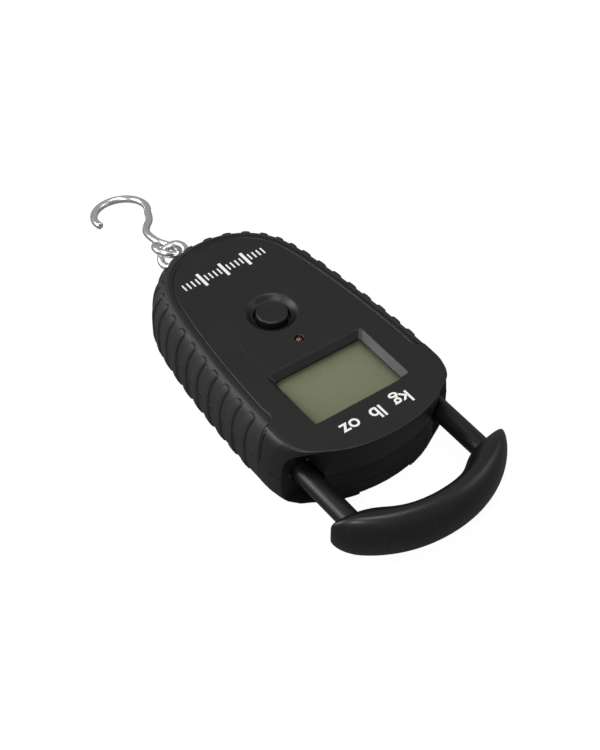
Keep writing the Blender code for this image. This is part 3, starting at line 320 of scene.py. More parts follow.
def shared_effect(effect: Effect) -> bpy.types.NodeTree:
    """Build a shader group once and return it from then on.

    Args:
        effect: Which effect to build.

    Returns:
        The group's node tree.
    """
    existing = bpy.data.node_groups.get(effect.value)
    if existing is not None:
        return existing
    tree = bpy.data.node_groups.new(effect.value, "ShaderNodeTree")
    graph = NodeGraph(tree)
    sockets = tree.interface
    sockets.new_socket("Vector", in_out="INPUT", socket_type="NodeSocketVector")
    if effect is Effect.TONE:
        for label in ("Dark", "Light"):
            sockets.new_socket(label, in_out="INPUT", socket_type="NodeSocketColor")
        sockets.new_socket("Scale", in_out="INPUT", socket_type="NodeSocketFloat")
        sockets.new_socket("Color", in_out="OUTPUT", socket_type="NodeSocketColor")
        start = graph.add("NodeGroupInput")
        broad = graph.add("ShaderNodeTexNoise", {"Vector": start.outputs["Vector"],
                                                 "Scale": start.outputs["Scale"], "Detail": 5.0,
                                                 "Roughness": 0.55})
        fine = graph.add("ShaderNodeTexNoise", {
            "Vector": start.outputs["Vector"],
            "Scale": graph.maths("MULTIPLY", start.outputs["Scale"], 23.0), "Detail": 2.0})
        blend = graph.maths("MULTIPLY_ADD", fine.outputs[0], 0.35,
                            graph.maths("MULTIPLY", broad.outputs[0], 0.65))
        mix = graph.add("ShaderNodeMix", data_type="RGBA")
        graph.feed(mix.inputs[0], graph.remap(blend, 0.35, 0.65, 0.0, 1.0, smooth=True))
        graph.feed(mix.inputs[6], start.outputs["Dark"])
        graph.feed(mix.inputs[7], start.outputs["Light"])
        graph.add("NodeGroupOutput", {"Color": mix.outputs[2]})
    elif effect is Effect.GRAIN:
        for label in ("Size", "Roughness", "Spread"):
            sockets.new_socket(label, in_out="INPUT", socket_type="NodeSocketFloat")
        for label in ("Height", "Roughness"):
            sockets.new_socket(label, in_out="OUTPUT", socket_type="NodeSocketFloat")
        start = graph.add("NodeGroupInput")
        scale = graph.maths("DIVIDE", 1.0, start.outputs["Size"])
        cells = graph.add("ShaderNodeTexVoronoi", {"Vector": start.outputs["Vector"], "Scale": scale,
                                                   "Randomness": 1.0}, feature="SMOOTH_F1")
        cells.inputs["Smoothness"].default_value = 0.6
        noise = graph.add("ShaderNodeTexNoise", {"Vector": start.outputs["Vector"], "Detail": 3.0,
                                                 "Scale": graph.maths("MULTIPLY", scale, 0.5)})
        height = graph.maths("MULTIPLY_ADD", cells.outputs["Distance"], 0.6,
                             graph.maths("MULTIPLY", noise.outputs[0], 0.4))
        patches = graph.add("ShaderNodeTexNoise", {"Vector": start.outputs["Vector"], "Scale": 70.0,
                                                   "Detail": 4.0})
        swing = graph.maths("MULTIPLY", graph.maths("SUBTRACT", patches.outputs[0], 0.5),
                            start.outputs["Spread"])
        graph.add("NodeGroupOutput", {"Height": height, "Roughness": graph.maths(
            "ADD", start.outputs["Roughness"], swing, clamp=True)})
    else:
        sockets.new_socket("Amount", in_out="INPUT", socket_type="NodeSocketFloat")
        sockets.new_socket("Mask", in_out="OUTPUT", socket_type="NodeSocketFloat")
        start = graph.add("NodeGroupInput")
        total: object = 0.0
        for turn, reach in ((0.5, 55.0), (1.9, 41.0), (2.7, 62.0)):
            laid = graph.add("ShaderNodeMapping", {"Vector": start.outputs["Vector"],
                                                   "Rotation": (0.3, 0.2, turn),
                                                   "Scale": (reach * 26, reach, reach)})
            noise = graph.add("ShaderNodeTexNoise", {"Vector": laid.outputs[0], "Scale": 1.0,
                                                     "Detail": 1.0})
            total = graph.maths("ADD", total, graph.remap(noise.outputs[0], 0.70, 0.76, 0.0, 1.0))
        graph.add("NodeGroupOutput", {"Mask": graph.maths("MULTIPLY", total, start.outputs["Amount"],
                                                          clamp=True)})
    return tree


# ------------------------------------------------------------------ finishes
@dataclass(frozen=True)
class Finish:
    """A moulded, drawn or painted surface.

    The colour drifts between a darker and a lighter tone, the grain is in metres, and stretch
    draws the grain out along an axis, as polishing and drawing do.
    """

    name: str
    colour: Colour
    roughness: float
    slot: str
    metallic: float = 0.0
    tone: float = 0.18
    tone_scale: float = 45.0
    grain: float = 0.22 * MM
    depth: float = 0.10
    spread: float = 0.10
    scuffs: float = 0.0
    stretch: Colour = (1.0, 1.0, 1.0)
    specular: float = 0.5
    coat: float = 0.0
    alpha: float = 1.0
    transmission: float = 0.0
    subsurface: float = 0.0
    emission: float = 0.0

    def material(self) -> bpy.types.Material:
        """Build this finish's material once and return it from then on."""
        existing = bpy.data.materials.get(self.name)
        if existing is not None:
            return existing
        made = bpy.data.materials.new(self.name)
        made.use_nodes = True
        made.diffuse_color = (*self.colour, self.alpha)
        graph = NodeGraph(made.node_tree)
        shader = made.node_tree.nodes["Principled BSDF"]
        place = graph.add("ShaderNodeTexCoord").outputs["Object"]
        laid = graph.add("ShaderNodeMapping", {"Vector": place, "Scale": self.stretch}).outputs[0]
        self.dress(graph, shader, place, laid)
        shader.inputs["Metallic"].default_value = self.metallic
        shader.inputs["Specular IOR Level"].default_value = self.specular
        shader.inputs["Alpha"].default_value = self.alpha
        shader.inputs["Transmission Weight"].default_value = self.transmission
        if self.coat:
            shader.inputs["Coat Weight"].default_value = self.coat
            shader.inputs["Coat Roughness"].default_value = 0.12
        if self.subsurface:
            shader.inputs["Subsurface Weight"].default_value = self.subsurface
            shader.inputs["Subsurface Scale"].default_value = 1.0 * MM
        if self.emission:
            shader.inputs["Emission Color"].default_value = (*self.colour, 1.0)
            shader.inputs["Emission Strength"].default_value = self.emission
        return made

    def dress(self, graph: NodeGraph, shader: bpy.types.Node, place: bpy.types.NodeSocket,
              laid: bpy.types.NodeSocket) -> None:
        """Join the shared effects to the shader.

        Args:
            graph: Graph of the material.
            shader: The Principled shader.
            place: Object coordinates.
            laid: Object coordinates drawn out along the grain.
        """
        dark = tuple(c * (1.0 - self.tone) for c in self.colour)
        light = tuple(min(1.0, c * (1.0 + self.tone)) for c in self.colour)
        tone = graph.add("ShaderNodeGroup", node_tree=shared_effect(Effect.TONE))
        graph.feed(tone.inputs["Vector"], place)
        graph.feed(tone.inputs["Dark"], (*dark, 1.0))
        graph.feed(tone.inputs["Light"], (*light, 1.0))
        graph.feed(tone.inputs["Scale"], self.tone_scale)
        grain = graph.add("ShaderNodeGroup", node_tree=shared_effect(Effect.GRAIN))
        graph.feed(grain.inputs["Vector"], laid)
        graph.feed(grain.inputs["Size"], self.grain)
        graph.feed(grain.inputs["Roughness"], self.roughness)
        graph.feed(grain.inputs["Spread"], self.spread)
        colour, rough = tone.outputs["Color"], grain.outputs["Roughness"]
        if self.scuffs:
            scuffs = graph.add("ShaderNodeGroup", node_tree=shared_effect(Effect.SCUFFS))
            graph.feed(scuffs.inputs["Vector"], place)
            graph.feed(scuffs.inputs["Amount"], self.scuffs)
            rough = graph.maths("ADD", rough, graph.maths("MULTIPLY", scuffs.outputs["Mask"], 0.12),
                                clamp=True)
            worn = graph.add("ShaderNodeMix", data_type="RGBA")
            graph.feed(worn.inputs[0], graph.maths("MULTIPLY", scuffs.outputs["Mask"], 0.25))
            graph.feed(worn.inputs[6], colour)
            graph.feed(worn.inputs[7], (0.09, 0.09, 0.09, 1.0))
            colour = worn.outputs[2]
        graph.feed(shader.inputs["Base Color"], colour)
        graph.feed(shader.inputs["Roughness"], rough)
        bump = graph.add("ShaderNodeBump", {"Height": grain.outputs["Height"],
                                            "Strength": self.depth, "Distance": 0.1 * MM})
        graph.feed(shader.inputs["Normal"], bump.outputs[0])


@dataclass(frozen=True)
class DisplayFinish(Finish):
    """Grey-green reflective display with a fine speckle, a painted shade gradient that runs darker towards the
    handle end, and a painted bezel shadow that darkens it towards the edges.
    """

    half_width: float = 19.3 * MM
    half_depth: float = 12.7 * MM
    centre_y: float = -46.1 * MM

    def dress(self, graph: NodeGraph, shader: bpy.types.Node, place: bpy.types.NodeSocket,
              laid: bpy.types.NodeSocket) -> None:
        """Paint the display, see Finish.dress for the arguments."""
        split = graph.add("ShaderNodeSeparateXYZ", {"Vector": place})
        across = graph.maths("DIVIDE", split.outputs[0], self.half_width)
        along = graph.maths("DIVIDE", graph.maths("SUBTRACT", split.outputs[1], self.centre_y),
                            self.half_depth)
        # painted shade: the colour ramps darker towards the handle end of the display
        fall = graph.remap(along, -1.0, 1.0, 0.0, 1.0)
        rim = graph.maths("MAXIMUM", graph.maths("ABSOLUTE", across), graph.maths("ABSOLUTE", along))
        tone = graph.add("ShaderNodeValToRGB", {"Fac": fall})
        stops = tone.color_ramp.elements
        stops[0].color = (*[c * 0.86 for c in self.colour], 1.0)
        stops[1].color = (*[c * 1.12 for c in self.colour], 1.0)
        # painted shadow of the bezel: darkens the display towards its edges
        shadow = graph.remap(rim, 0.86, 1.06, 1.0, 0.80, smooth=True)
        speck = graph.add("ShaderNodeTexNoise", {"Vector": place, "Scale": 2600.0, "Detail": 1.0})
        value = graph.maths("MULTIPLY", shadow, graph.remap(speck.outputs[0], 0.3, 0.7, 0.97, 1.03))
        mix = graph.add("ShaderNodeMix", data_type="RGBA", blend_type="MULTIPLY")
        graph.feed(mix.inputs[0], 1.0)
        graph.feed(mix.inputs[6], tone.outputs[0])
        grey = graph.add("ShaderNodeCombineColor", {0: value, 1: value, 2: value})
        graph.feed(mix.inputs[7], grey.outputs[0])
        graph.feed(shader.inputs["Base Color"], mix.outputs[2])
        graph.feed(shader.inputs["Roughness"], graph.remap(speck.outputs[0], 0.3, 0.7,
                                                           self.roughness - 0.03,
                                                           self.roughness + 0.03))


FACE_PLASTIC = Finish("satin_face_plastic", (0.0046, 0.0046, 0.0049), 0.44, "face_plastic",
                      grain=0.20 * MM, depth=0.16, scuffs=0.25)
CASE_PLASTIC = Finish("moulded_case_plastic", (0.0048, 0.0048, 0.0051), 0.48, "case_plastic",
                      grain=0.24 * MM, depth=0.18)
RUBBER = Finish("ribbed_rubber", (0.0150, 0.0150, 0.0156), 0.54, "rubber", tone=0.3,
                grain=0.16 * MM, depth=0.28, spread=0.16, specular=0.42)
GRIP_PLASTIC = Finish("satin_grip_plastic", (0.0046, 0.0046, 0.0050), 0.36, "grip_plastic",
                      grain=0.26 * MM, depth=0.20, scuffs=0.35)
ROD_BLACK = Finish("brushed_black_rod", (0.0100, 0.0100, 0.0110), 0.36, "rod_black", metallic=0.3,
                   grain=0.20 * MM, depth=0.34, stretch=(1.0, 0.35, 1.0), scuffs=0.5)
STEEL = Finish("polished_steel", (0.86, 0.86, 0.85), 0.26, "steel", metallic=1.0, tone=0.08,
               grain=0.35 * MM, depth=0.010, spread=0.10, stretch=(1.0, 0.3, 1.0))
PLATED = Finish("plated_screw_steel", (0.42, 0.41, 0.39), 0.28, "steel", metallic=1.0, tone=0.2,
                grain=0.3 * MM, depth=0.08)
ALUMINIUM = Finish("milled_aluminium", (0.72, 0.73, 0.74), 0.32, "aluminium", metallic=1.0,
                   grain=0.4 * MM, depth=0.1, stretch=(1.0, 0.1, 1.0))
NICKEL = Finish("nickel_contact", (0.62, 0.58, 0.50), 0.3, "nickel", metallic=1.0, tone=0.2)
NYLON = Finish("natural_nylon", (0.66, 0.64, 0.58), 0.5, "nylon", subsurface=0.15)
TRAY_BLACK = Finish("black_nylon_tray", (0.012, 0.012, 0.012), 0.6, "nylon")
WINDOW = Finish("clear_window", (0.20, 0.22, 0.16), 0.06, "window_clear", alpha=0.10, depth=0.0,
                spread=0.02, tone=0.02)
BOARD = Finish("solder_mask_green", (0.012, 0.13, 0.045), 0.38, "board_green", tone=0.25)
LAMP_RED = Finish("red_lamp", (0.13, 0.010, 0.008), 0.16, "lamp_red", depth=0.02, coat=0.6,
                  subsurface=0.3, tone=0.25, tone_scale=300.0)
CELL_WRAP = Finish("plain_cell_wrap", (0.04, 0.075, 0.22), 0.28, "cell_wrap", depth=0.04)
CHIP_BLACK = Finish("moulded_component", (0.02, 0.02, 0.02), 0.55, "chip_black", depth=0.2)
GAUGE_FOIL = Finish("gauge_foil_amber", (0.5, 0.27, 0.07), 0.35, "gauge_foil", tone=0.3)
PRINT_WHITE = Finish("white_print", (0.82, 0.82, 0.81), 0.5, "face_plastic", tone=0.04,
                     grain=0.12 * MM, depth=0.12)
DISPLAY = DisplayFinish("grey_green_display", (0.190, 0.202, 0.112), 0.3, "lcd_glass")


def dress_piece(piece: bpy.types.Object, finish: Finish, body: str, *stands_for: str) -> bpy.types.Object:
    """Give a finished piece its material and its body, and hide the CAD nodes that it stands for.

    Args:
        piece: The finished mesh object.
        finish: Its finish.
        body: The body that it rides on.
        stands_for: Names of the CAD nodes that it replaces.

    Returns:
        The piece.
    """
    piece.data.materials.clear()
    piece.data.materials.append(finish.material())
    for face in piece.data.polygons:
        face.material_index = 0
    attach(piece, body)
    if stands_for:
        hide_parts(*stands_for)
    LOG.info("%s: %d faces on %s, stands for %s", piece.name, len(piece.data.polygons), body,
             ", ".join(stands_for) or "nothing")
    return piece


# ------------------------------------------------------------------ housing
@dataclass
class BodyShape:
    """Plan outlines and side profile that all the housing's pieces share."""

    half_width: float = 39.1 * MM
    height: float = 30.0 * MM
    seam_z: float = 13.7 * MM
    handle_end_y: float = -76.3 * MM
    hook_end_y: float = 46.9 * MM
    side_taper: float = 5.8 * MM
    end_arc_radius: float = 57.0 * MM
    top_inset: float = 4.8 * MM
    back_inset: float = 5.0 * MM
    end_overhang: float = 3.6 * MM
    back_shoulder: float = 8.0 * MM
    points: int = 264
    rings: Dict[str, List[Vector]] = field(default_factory=dict)

    def __post_init__(self) -> None:
        """Sample the seam, top and back outlines."""
        self.rings["seam"] = self.outline(self.half_width, self.handle_end_y, self.hook_end_y, 11 * MM)
        self.rings["top"] = self.outline(self.half_width - self.top_inset,
                                         self.handle_end_y - self.end_overhang,
                                         self.hook_end_y - self.top_inset, 10 * MM)
        self.rings["back"] = self.outline(self.half_width - self.back_inset, self.handle_end_y,
                                          self.hook_end_y - self.back_inset, 10 * MM)

    def outline(self, half_width: float, handle_y: float, hook_y: float, corner: float) -> List[Vector]:
        """Sample one outline: bulged end, rounded corner, tapered side, round far end.

        Args:
            half_width: Half of the widest part.
            handle_y: Middle of the end beside the grip.
            hook_y: Far end beside the hook.
            corner: Size of the corners beside the grip.

        Returns:
            Points round the outline, from the middle of the grip end.
        """
        def end_arc(x: float) -> float:
            return handle_y + x * x / (2 * self.end_arc_radius)

        wide_y = handle_y + 24 * MM
        far_y = hook_y - 26 * MM

        def side(y: float) -> float:
            return half_width - self.side_taper * ((y - wide_y) / (far_y - wide_y)) ** 2

        far = side(far_y)
        right = [(0.0, handle_y), (0.26 * half_width, end_arc(0.26 * half_width)),
                 (0.5 * half_width, end_arc(0.5 * half_width)),
                 (half_width - corner, end_arc(half_width - corner) + 0.6 * MM),
                 (half_width - 0.25 * corner, handle_y + 11.0 * MM),
                 (half_width - 0.04 * corner, handle_y + 17.5 * MM), (half_width, wide_y),
                 (side(wide_y + 16 * MM), wide_y + 16 * MM), (side(wide_y + 34 * MM), wide_y + 34 * MM),
                 (side(far_y - 24 * MM), far_y - 24 * MM), (side(far_y - 10 * MM), far_y - 10 * MM),
                 (0.975 * far, far_y + 3 * MM), (0.86 * far, far_y + 12.5 * MM),
                 (0.64 * far, far_y + 20.0 * MM), (0.34 * far, far_y + 24.6 * MM), (0.0, hook_y)]
        keys = [Vector(point) for point in right + [(-x, y) for x, y in reversed(right[1:-1])]]
        loop = []
        for i in range(self.points):
            place = i * len(keys) / self.points
            k, t = int(place), place - int(place)
            p0, p1, p2, p3 = (keys[(k + d) % len(keys)] for d in (-1, 0, 1, 2))
            loop.append(0.5 * ((2 * p1) + (p2 - p0) * t + (2 * p0 - 5 * p1 + 4 * p2 - p3) * t * t
                               + (3 * p1 - p0 - 3 * p2 + p3) * t ** 3))
        for _ in range(10):
            loop = [0.5 * loop[i] + 0.25 * (loop[i - 1] + loop[(i + 1) % len(loop)])
                    for i in range(len(loop))]
        return loop

    def ring(self, z: float, inset: float = 0.0) -> List[Vector]:
        """Outline of the body at a height, moved inwards by an inset."""
        ring = []
        for seam, top, back in zip(self.rings["seam"], self.rings["top"], self.rings["back"]):
            if z >= self.seam_z:
                rise = min(1.0, (z - self.seam_z) / (self.height - self.seam_z))
                bulge = 1.0 - math.sqrt(max(0.0, 1.0 - rise * rise))
                sideness = min(1.0, max(0.0, (seam.y - self.handle_end_y - 4 * MM) / (14 * MM)))
                ring.append(seam.lerp(top, bulge * sideness + rise * (1.0 - sideness)))
            else:
                fall = min(1.0, max(0.0, (self.back_shoulder - z) / self.back_shoulder))
                ring.append(seam.lerp(back, 1.0 - math.sqrt(max(0.0, 1.0 - fall * fall))))
        if inset:
            count = len(ring)
            moved = []
            for i, point in enumerate(ring):
                tangent = (ring[(i + 1) % count] - ring[i - 1]).normalized()
                moved.append(point + Vector((-tangent.y, tangent.x)) * inset)
            ring = moved
        return [Vector((point.x, point.y, z)) for point in ring]

    def levels(self, z0: float, z1: float) -> List[float]:
        """Heights that follow the rounding of the shoulders between two heights."""
        steps = [self.seam_z + (self.height - self.seam_z) * math.sin(math.radians(a))
                 for a in range(6, 90, 6)]
        steps += [self.back_shoulder * (1.0 - math.sin(math.radians(a))) for a in range(84, 0, -7)]
        inner = sorted(z for z in steps + [self.back_shoulder, self.seam_z]
                       if z0 + 0.12 * MM < z < z1 - 0.12 * MM)
        return [z0] + inner + [z1]

    def solid(self, z0: float, z1: float, inset: Callable[[float], float] = lambda z: 0.0,
              below: float = 0.0, above: float = 0.0, edge: float = 0.0) -> bpy.types.Object:
        """Make the body between two heights.

        Args:
            z0: Lower height.
            z1: Upper height.
            inset: How far in the surface is, by height.
            below: Straight extension under the lower height.
            above: Straight extension over the upper height.
            edge: Radius of the upper edge.

        Returns:
            The solid.
        """
        rings = []
        for z in self.levels(z0, z1 - edge):
            rings.append(self.ring(z, inset(z)))
        if edge:
            for angle in (22, 45, 68, 90):
                turn = math.radians(angle)
                z = z1 - edge * (1.0 - math.sin(turn))
                rings.append(self.ring(z, inset(z) + edge * (1.0 - math.cos(turn))))
        if below:
            rings.insert(0, [point - Vector((0, 0, below)) for point in rings[0]])
        if above:
            rings.append([point + Vector((0, 0, above)) for point in rings[-1]])
        return loft("body", rings)


@dataclass
class Housing:
    """The face half of the case, with the display frame, button dish and rod recesses."""

    shape: BodyShape
    wall: float = 2.2 * MM
    rubber: float = 2.0 * MM
    face_lip: float = 1.3 * MM
    band_start_y: float = -51.0 * MM
    rear_band_z: float = 2.4 * MM
    rod_x: float = 29.15 * MM
    recess_x: float = 25.8 * MM
    recess_floor_y: float = -62.9 * MM
    recess_z: Point = (1.2 * MM, 28.8 * MM)
    recess_sweep: float = 10.0 * MM
    rod_hole: float = 5.0 * MM
    display_y: float = -46.1 * MM
    bezel: Point = (21.5 * MM, 14.9 * MM)
    view: Point = (19.3 * MM, 12.7 * MM)
    bezel_drop: float = 2.7 * MM
    button_y: float = -5.3 * MM
    button_hole: float = 7.05 * MM
    dish_radius: float = 10.6 * MM
    dish_depth: float = 2.2 * MM
    lamp_y: float = -22.4 * MM
    lamp_hole: float = 1.7 * MM
    groove_radius: float = 0.42 * MM

    def core_inset(self, z: float) -> float:
        """Depth of the plastic under the rubber at a height."""
        below_face = min(1.0, (self.shape.height - z) / (3 * MM))
        return self.face_lip + (self.rubber - self.face_lip) * below_face

    def band_void(self, z0: float, z1: float) -> bpy.types.Object:
        """Space for the rubber band, open to the outside."""
        void = block(-FAR, FAR, self.band_start_y, FAR, z0, z1)
        return cut(void, self.shape.solid(0.0, self.shape.height, self.core_inset, 1 * MM, 1 * MM))

    def recesses(self) -> List[bpy.types.Object]:
        """Tools that step the corners back round both rods, with a floor that sweeps up to the face."""
        bottom, top = self.recess_z
        centre = (self.recess_floor_y - self.recess_sweep, top - self.recess_sweep)
        profile = [(-FAR, top)]
        for a in range(0, 91, 6):
            turn = math.radians(a)
            profile.append((centre[0] + self.recess_sweep * math.sin(turn),
                            centre[1] + self.recess_sweep * math.cos(turn)))
        for a in range(0, 91, 15):
            turn = math.radians(a)
            profile.append((self.recess_floor_y - 1.5 * MM * (1 - math.cos(turn)),
                            bottom + 1.5 * MM * (1 - math.sin(turn))))
        profile.append((-FAR, bottom))
        tools = []
        for side in (-1, 1):
            ends = sorted((side * self.recess_x, side * FAR))
            tools.append(loft("tool", [[Vector((x, y, z)) for y, z in profile] for x in ends]))
        return tools

    def groove_path(self) -> List[Vector]:
        """Line of the fine groove beside the rubber: up one side, round the face, down the other."""
        offset = 1.15 * MM
        start_y = self.band_start_y - offset
        low, high = 15.0 * MM, 28.6 * MM
        rise = []
        for step in range(9):
            z = low + (high - low) * step / 8
            rise.append((z, self.side_at(start_y, z)))
        inset = self.core_inset(self.shape.height) + offset
        face = [point for point in self.shape.ring(self.shape.height, inset)
                if point.y > start_y + 3.0 * MM]
        right = [point for point in face if point.x >= 0]
        left = sorted((point for point in face if point.x < 0), key=self.turn_from_hook)
        right.sort(key=self.turn_from_hook, reverse=True)
        up = [Vector((x, start_y, z)) for z, x in rise]
        down = [Vector((-x, start_y, z)) for z, x in reversed(rise)]
        return through(up + right[::3] + left[::3] + down, 3)

    def turn_from_hook(self, point: Vector) -> float:
        """Angle of a point from the hook's direction, seen from the middle of the body."""
        return abs(math.atan2(point.x, point.y + 20 * MM))

    def side_at(self, y: float, z: float) -> float:
        """Half width of the body at a length and a height."""
        ring = self.shape.ring(z)
        for first, second in zip(ring, ring[1:]):
            if first.x > 0 and first.y <= y <= second.y:
                share = (y - first.y) / max(1e-9, second.y - first.y)
                return first.x + (second.x - first.x) * share
        return self.shape.half_width

    def groove(self) -> bpy.types.Object:
        """Cutting wire for the fine groove."""
        path = self.groove_path()
        return wire("tool", path, [self.groove_radius] * len(path), 8)

    def display_frame(self) -> bpy.types.Object:
        """Cutting tool for the display opening and its sloping frame."""
        top = self.shape.height
        floor = top - self.bezel_drop
        levels = ((floor - 3.2 * MM, *self.view, 1.0 * MM), (floor, *self.view, 1.0 * MM),
                  (floor + 0.15 * MM, self.view[0] + 0.05 * MM, self.view[1] + 0.05 * MM, 1.05 * MM),
                  (top - 0.62 * MM, self.bezel[0] - 0.42 * MM, self.bezel[1] - 0.42 * MM, 1.7 * MM),
                  (top - 0.32 * MM, self.bezel[0] - 0.22 * MM, self.bezel[1] - 0.22 * MM, 1.9 * MM),
                  (top - 0.10 * MM, self.bezel[0] + 0.06 * MM, self.bezel[1] + 0.06 * MM, 2.1 * MM),
                  (top + 0.01 * MM, self.bezel[0] + 0.40 * MM, self.bezel[1] + 0.40 * MM, 2.3 * MM),
                  (top + 1 * MM, self.bezel[0] + 0.40 * MM, self.bezel[1] + 0.40 * MM, 2.3 * MM))
        return loft("tool", [rounded_rectangle(x, y, r, self.display_y, z) for z, x, y, r in levels])

    def dish(self) -> bpy.types.Object:
        """Cutting tool for the button's dish and hole."""
        top, floor = self.shape.height, self.shape.height - self.dish_depth
        profile = [(floor - 4 * MM, self.button_hole), (floor - 0.25 * MM, self.button_hole),
                   (floor, self.button_hole + 0.25 * MM)]
        for step in range(1, 12):
            share = step / 12
            eased = 0.5 - 0.5 * math.cos(math.pi * share)
            profile.append((floor + self.dish_depth * eased,
                            self.button_hole + 0.25 * MM
                            + (self.dish_radius - self.button_hole - 0.25 * MM) * share))
        profile += [(top + 0.004 * MM, self.dish_radius), (top + 1 * MM, self.dish_radius)]
        return turned("tool", "Z", (0, self.button_y, 0), profile, 96)

    def cavity(self, z0: float, z1: float) -> bpy.types.Object:
        """Hollow of the housing between two heights."""
        depth = self.rubber + self.wall
        hollow = self.shape.solid(z0, z1, lambda z: depth)
        inner = self.rod_x - self.rod_hole - 1.8 * MM
        for side in (-1, 1):
            low, high = sorted((side * inner, side * FAR))
            cut(hollow, block(low, high, -FAR, self.recess_floor_y + 1.8 * MM, -FAR, FAR))
        return hollow

    def rod_holes(self) -> List[bpy.types.Object]:
        """Tools for the holes that the rods slide through."""
        return [turned("tool", "Y", (side * self.rod_x, 0, self.shape.seam_z),
                       ((-FAR, self.rod_hole), (self.recess_floor_y + 14 * MM, self.rod_hole)), 48)
                for side in (-1, 1)]

    def front(self) -> bpy.types.Object:
        """Make the face half."""
        shape = self.shape
        split = shape.seam_z + 0.5 * GAP
        shell = shape.solid(split, shape.height, edge=0.7 * MM)
        cut(shell, self.band_void(split - 1 * MM, shape.height + 1 * MM))
        cut(shell, *self.recesses())
        hollow = self.cavity(split - 1 * MM, shape.height - 2 * MM)
        keep = turned("tool", "Z", (0, self.button_y, 0),
                      ((shape.height - 4.2 * MM, self.dish_radius + 1.2 * MM),
                       (shape.height, self.dish_radius + 1.2 * MM)), 64)
        frame_keep = block(-22.5 * MM, 22.5 * MM, self.display_y - 16.0 * MM,
                           self.display_y + 16.0 * MM, 26.9 * MM, shape.height)
        cut(shell, cut(hollow, keep, frame_keep))
        lamp = turned("tool", "Z", (0, self.lamp_y, 0),
                      ((26 * MM, self.lamp_hole), (shape.height - 0.2 * MM, self.lamp_hole),
                       (shape.height + 0.01 * MM, self.lamp_hole + 0.2 * MM),
                       (shape.height + 1 * MM, self.lamp_hole + 0.2 * MM)), 48)
        cut(shell, self.display_frame(), self.dish(), lamp)
        cut(shell, *self.rod_holes())
        cut(shell, self.groove())
        shell.name = "face_half"
        return shade(shell, 30.0)

    def build(self) -> None:
        """Make the face half and put it on the housing."""
        dress_piece(self.front(), FACE_PLASTIC, "housing", "front_shell")


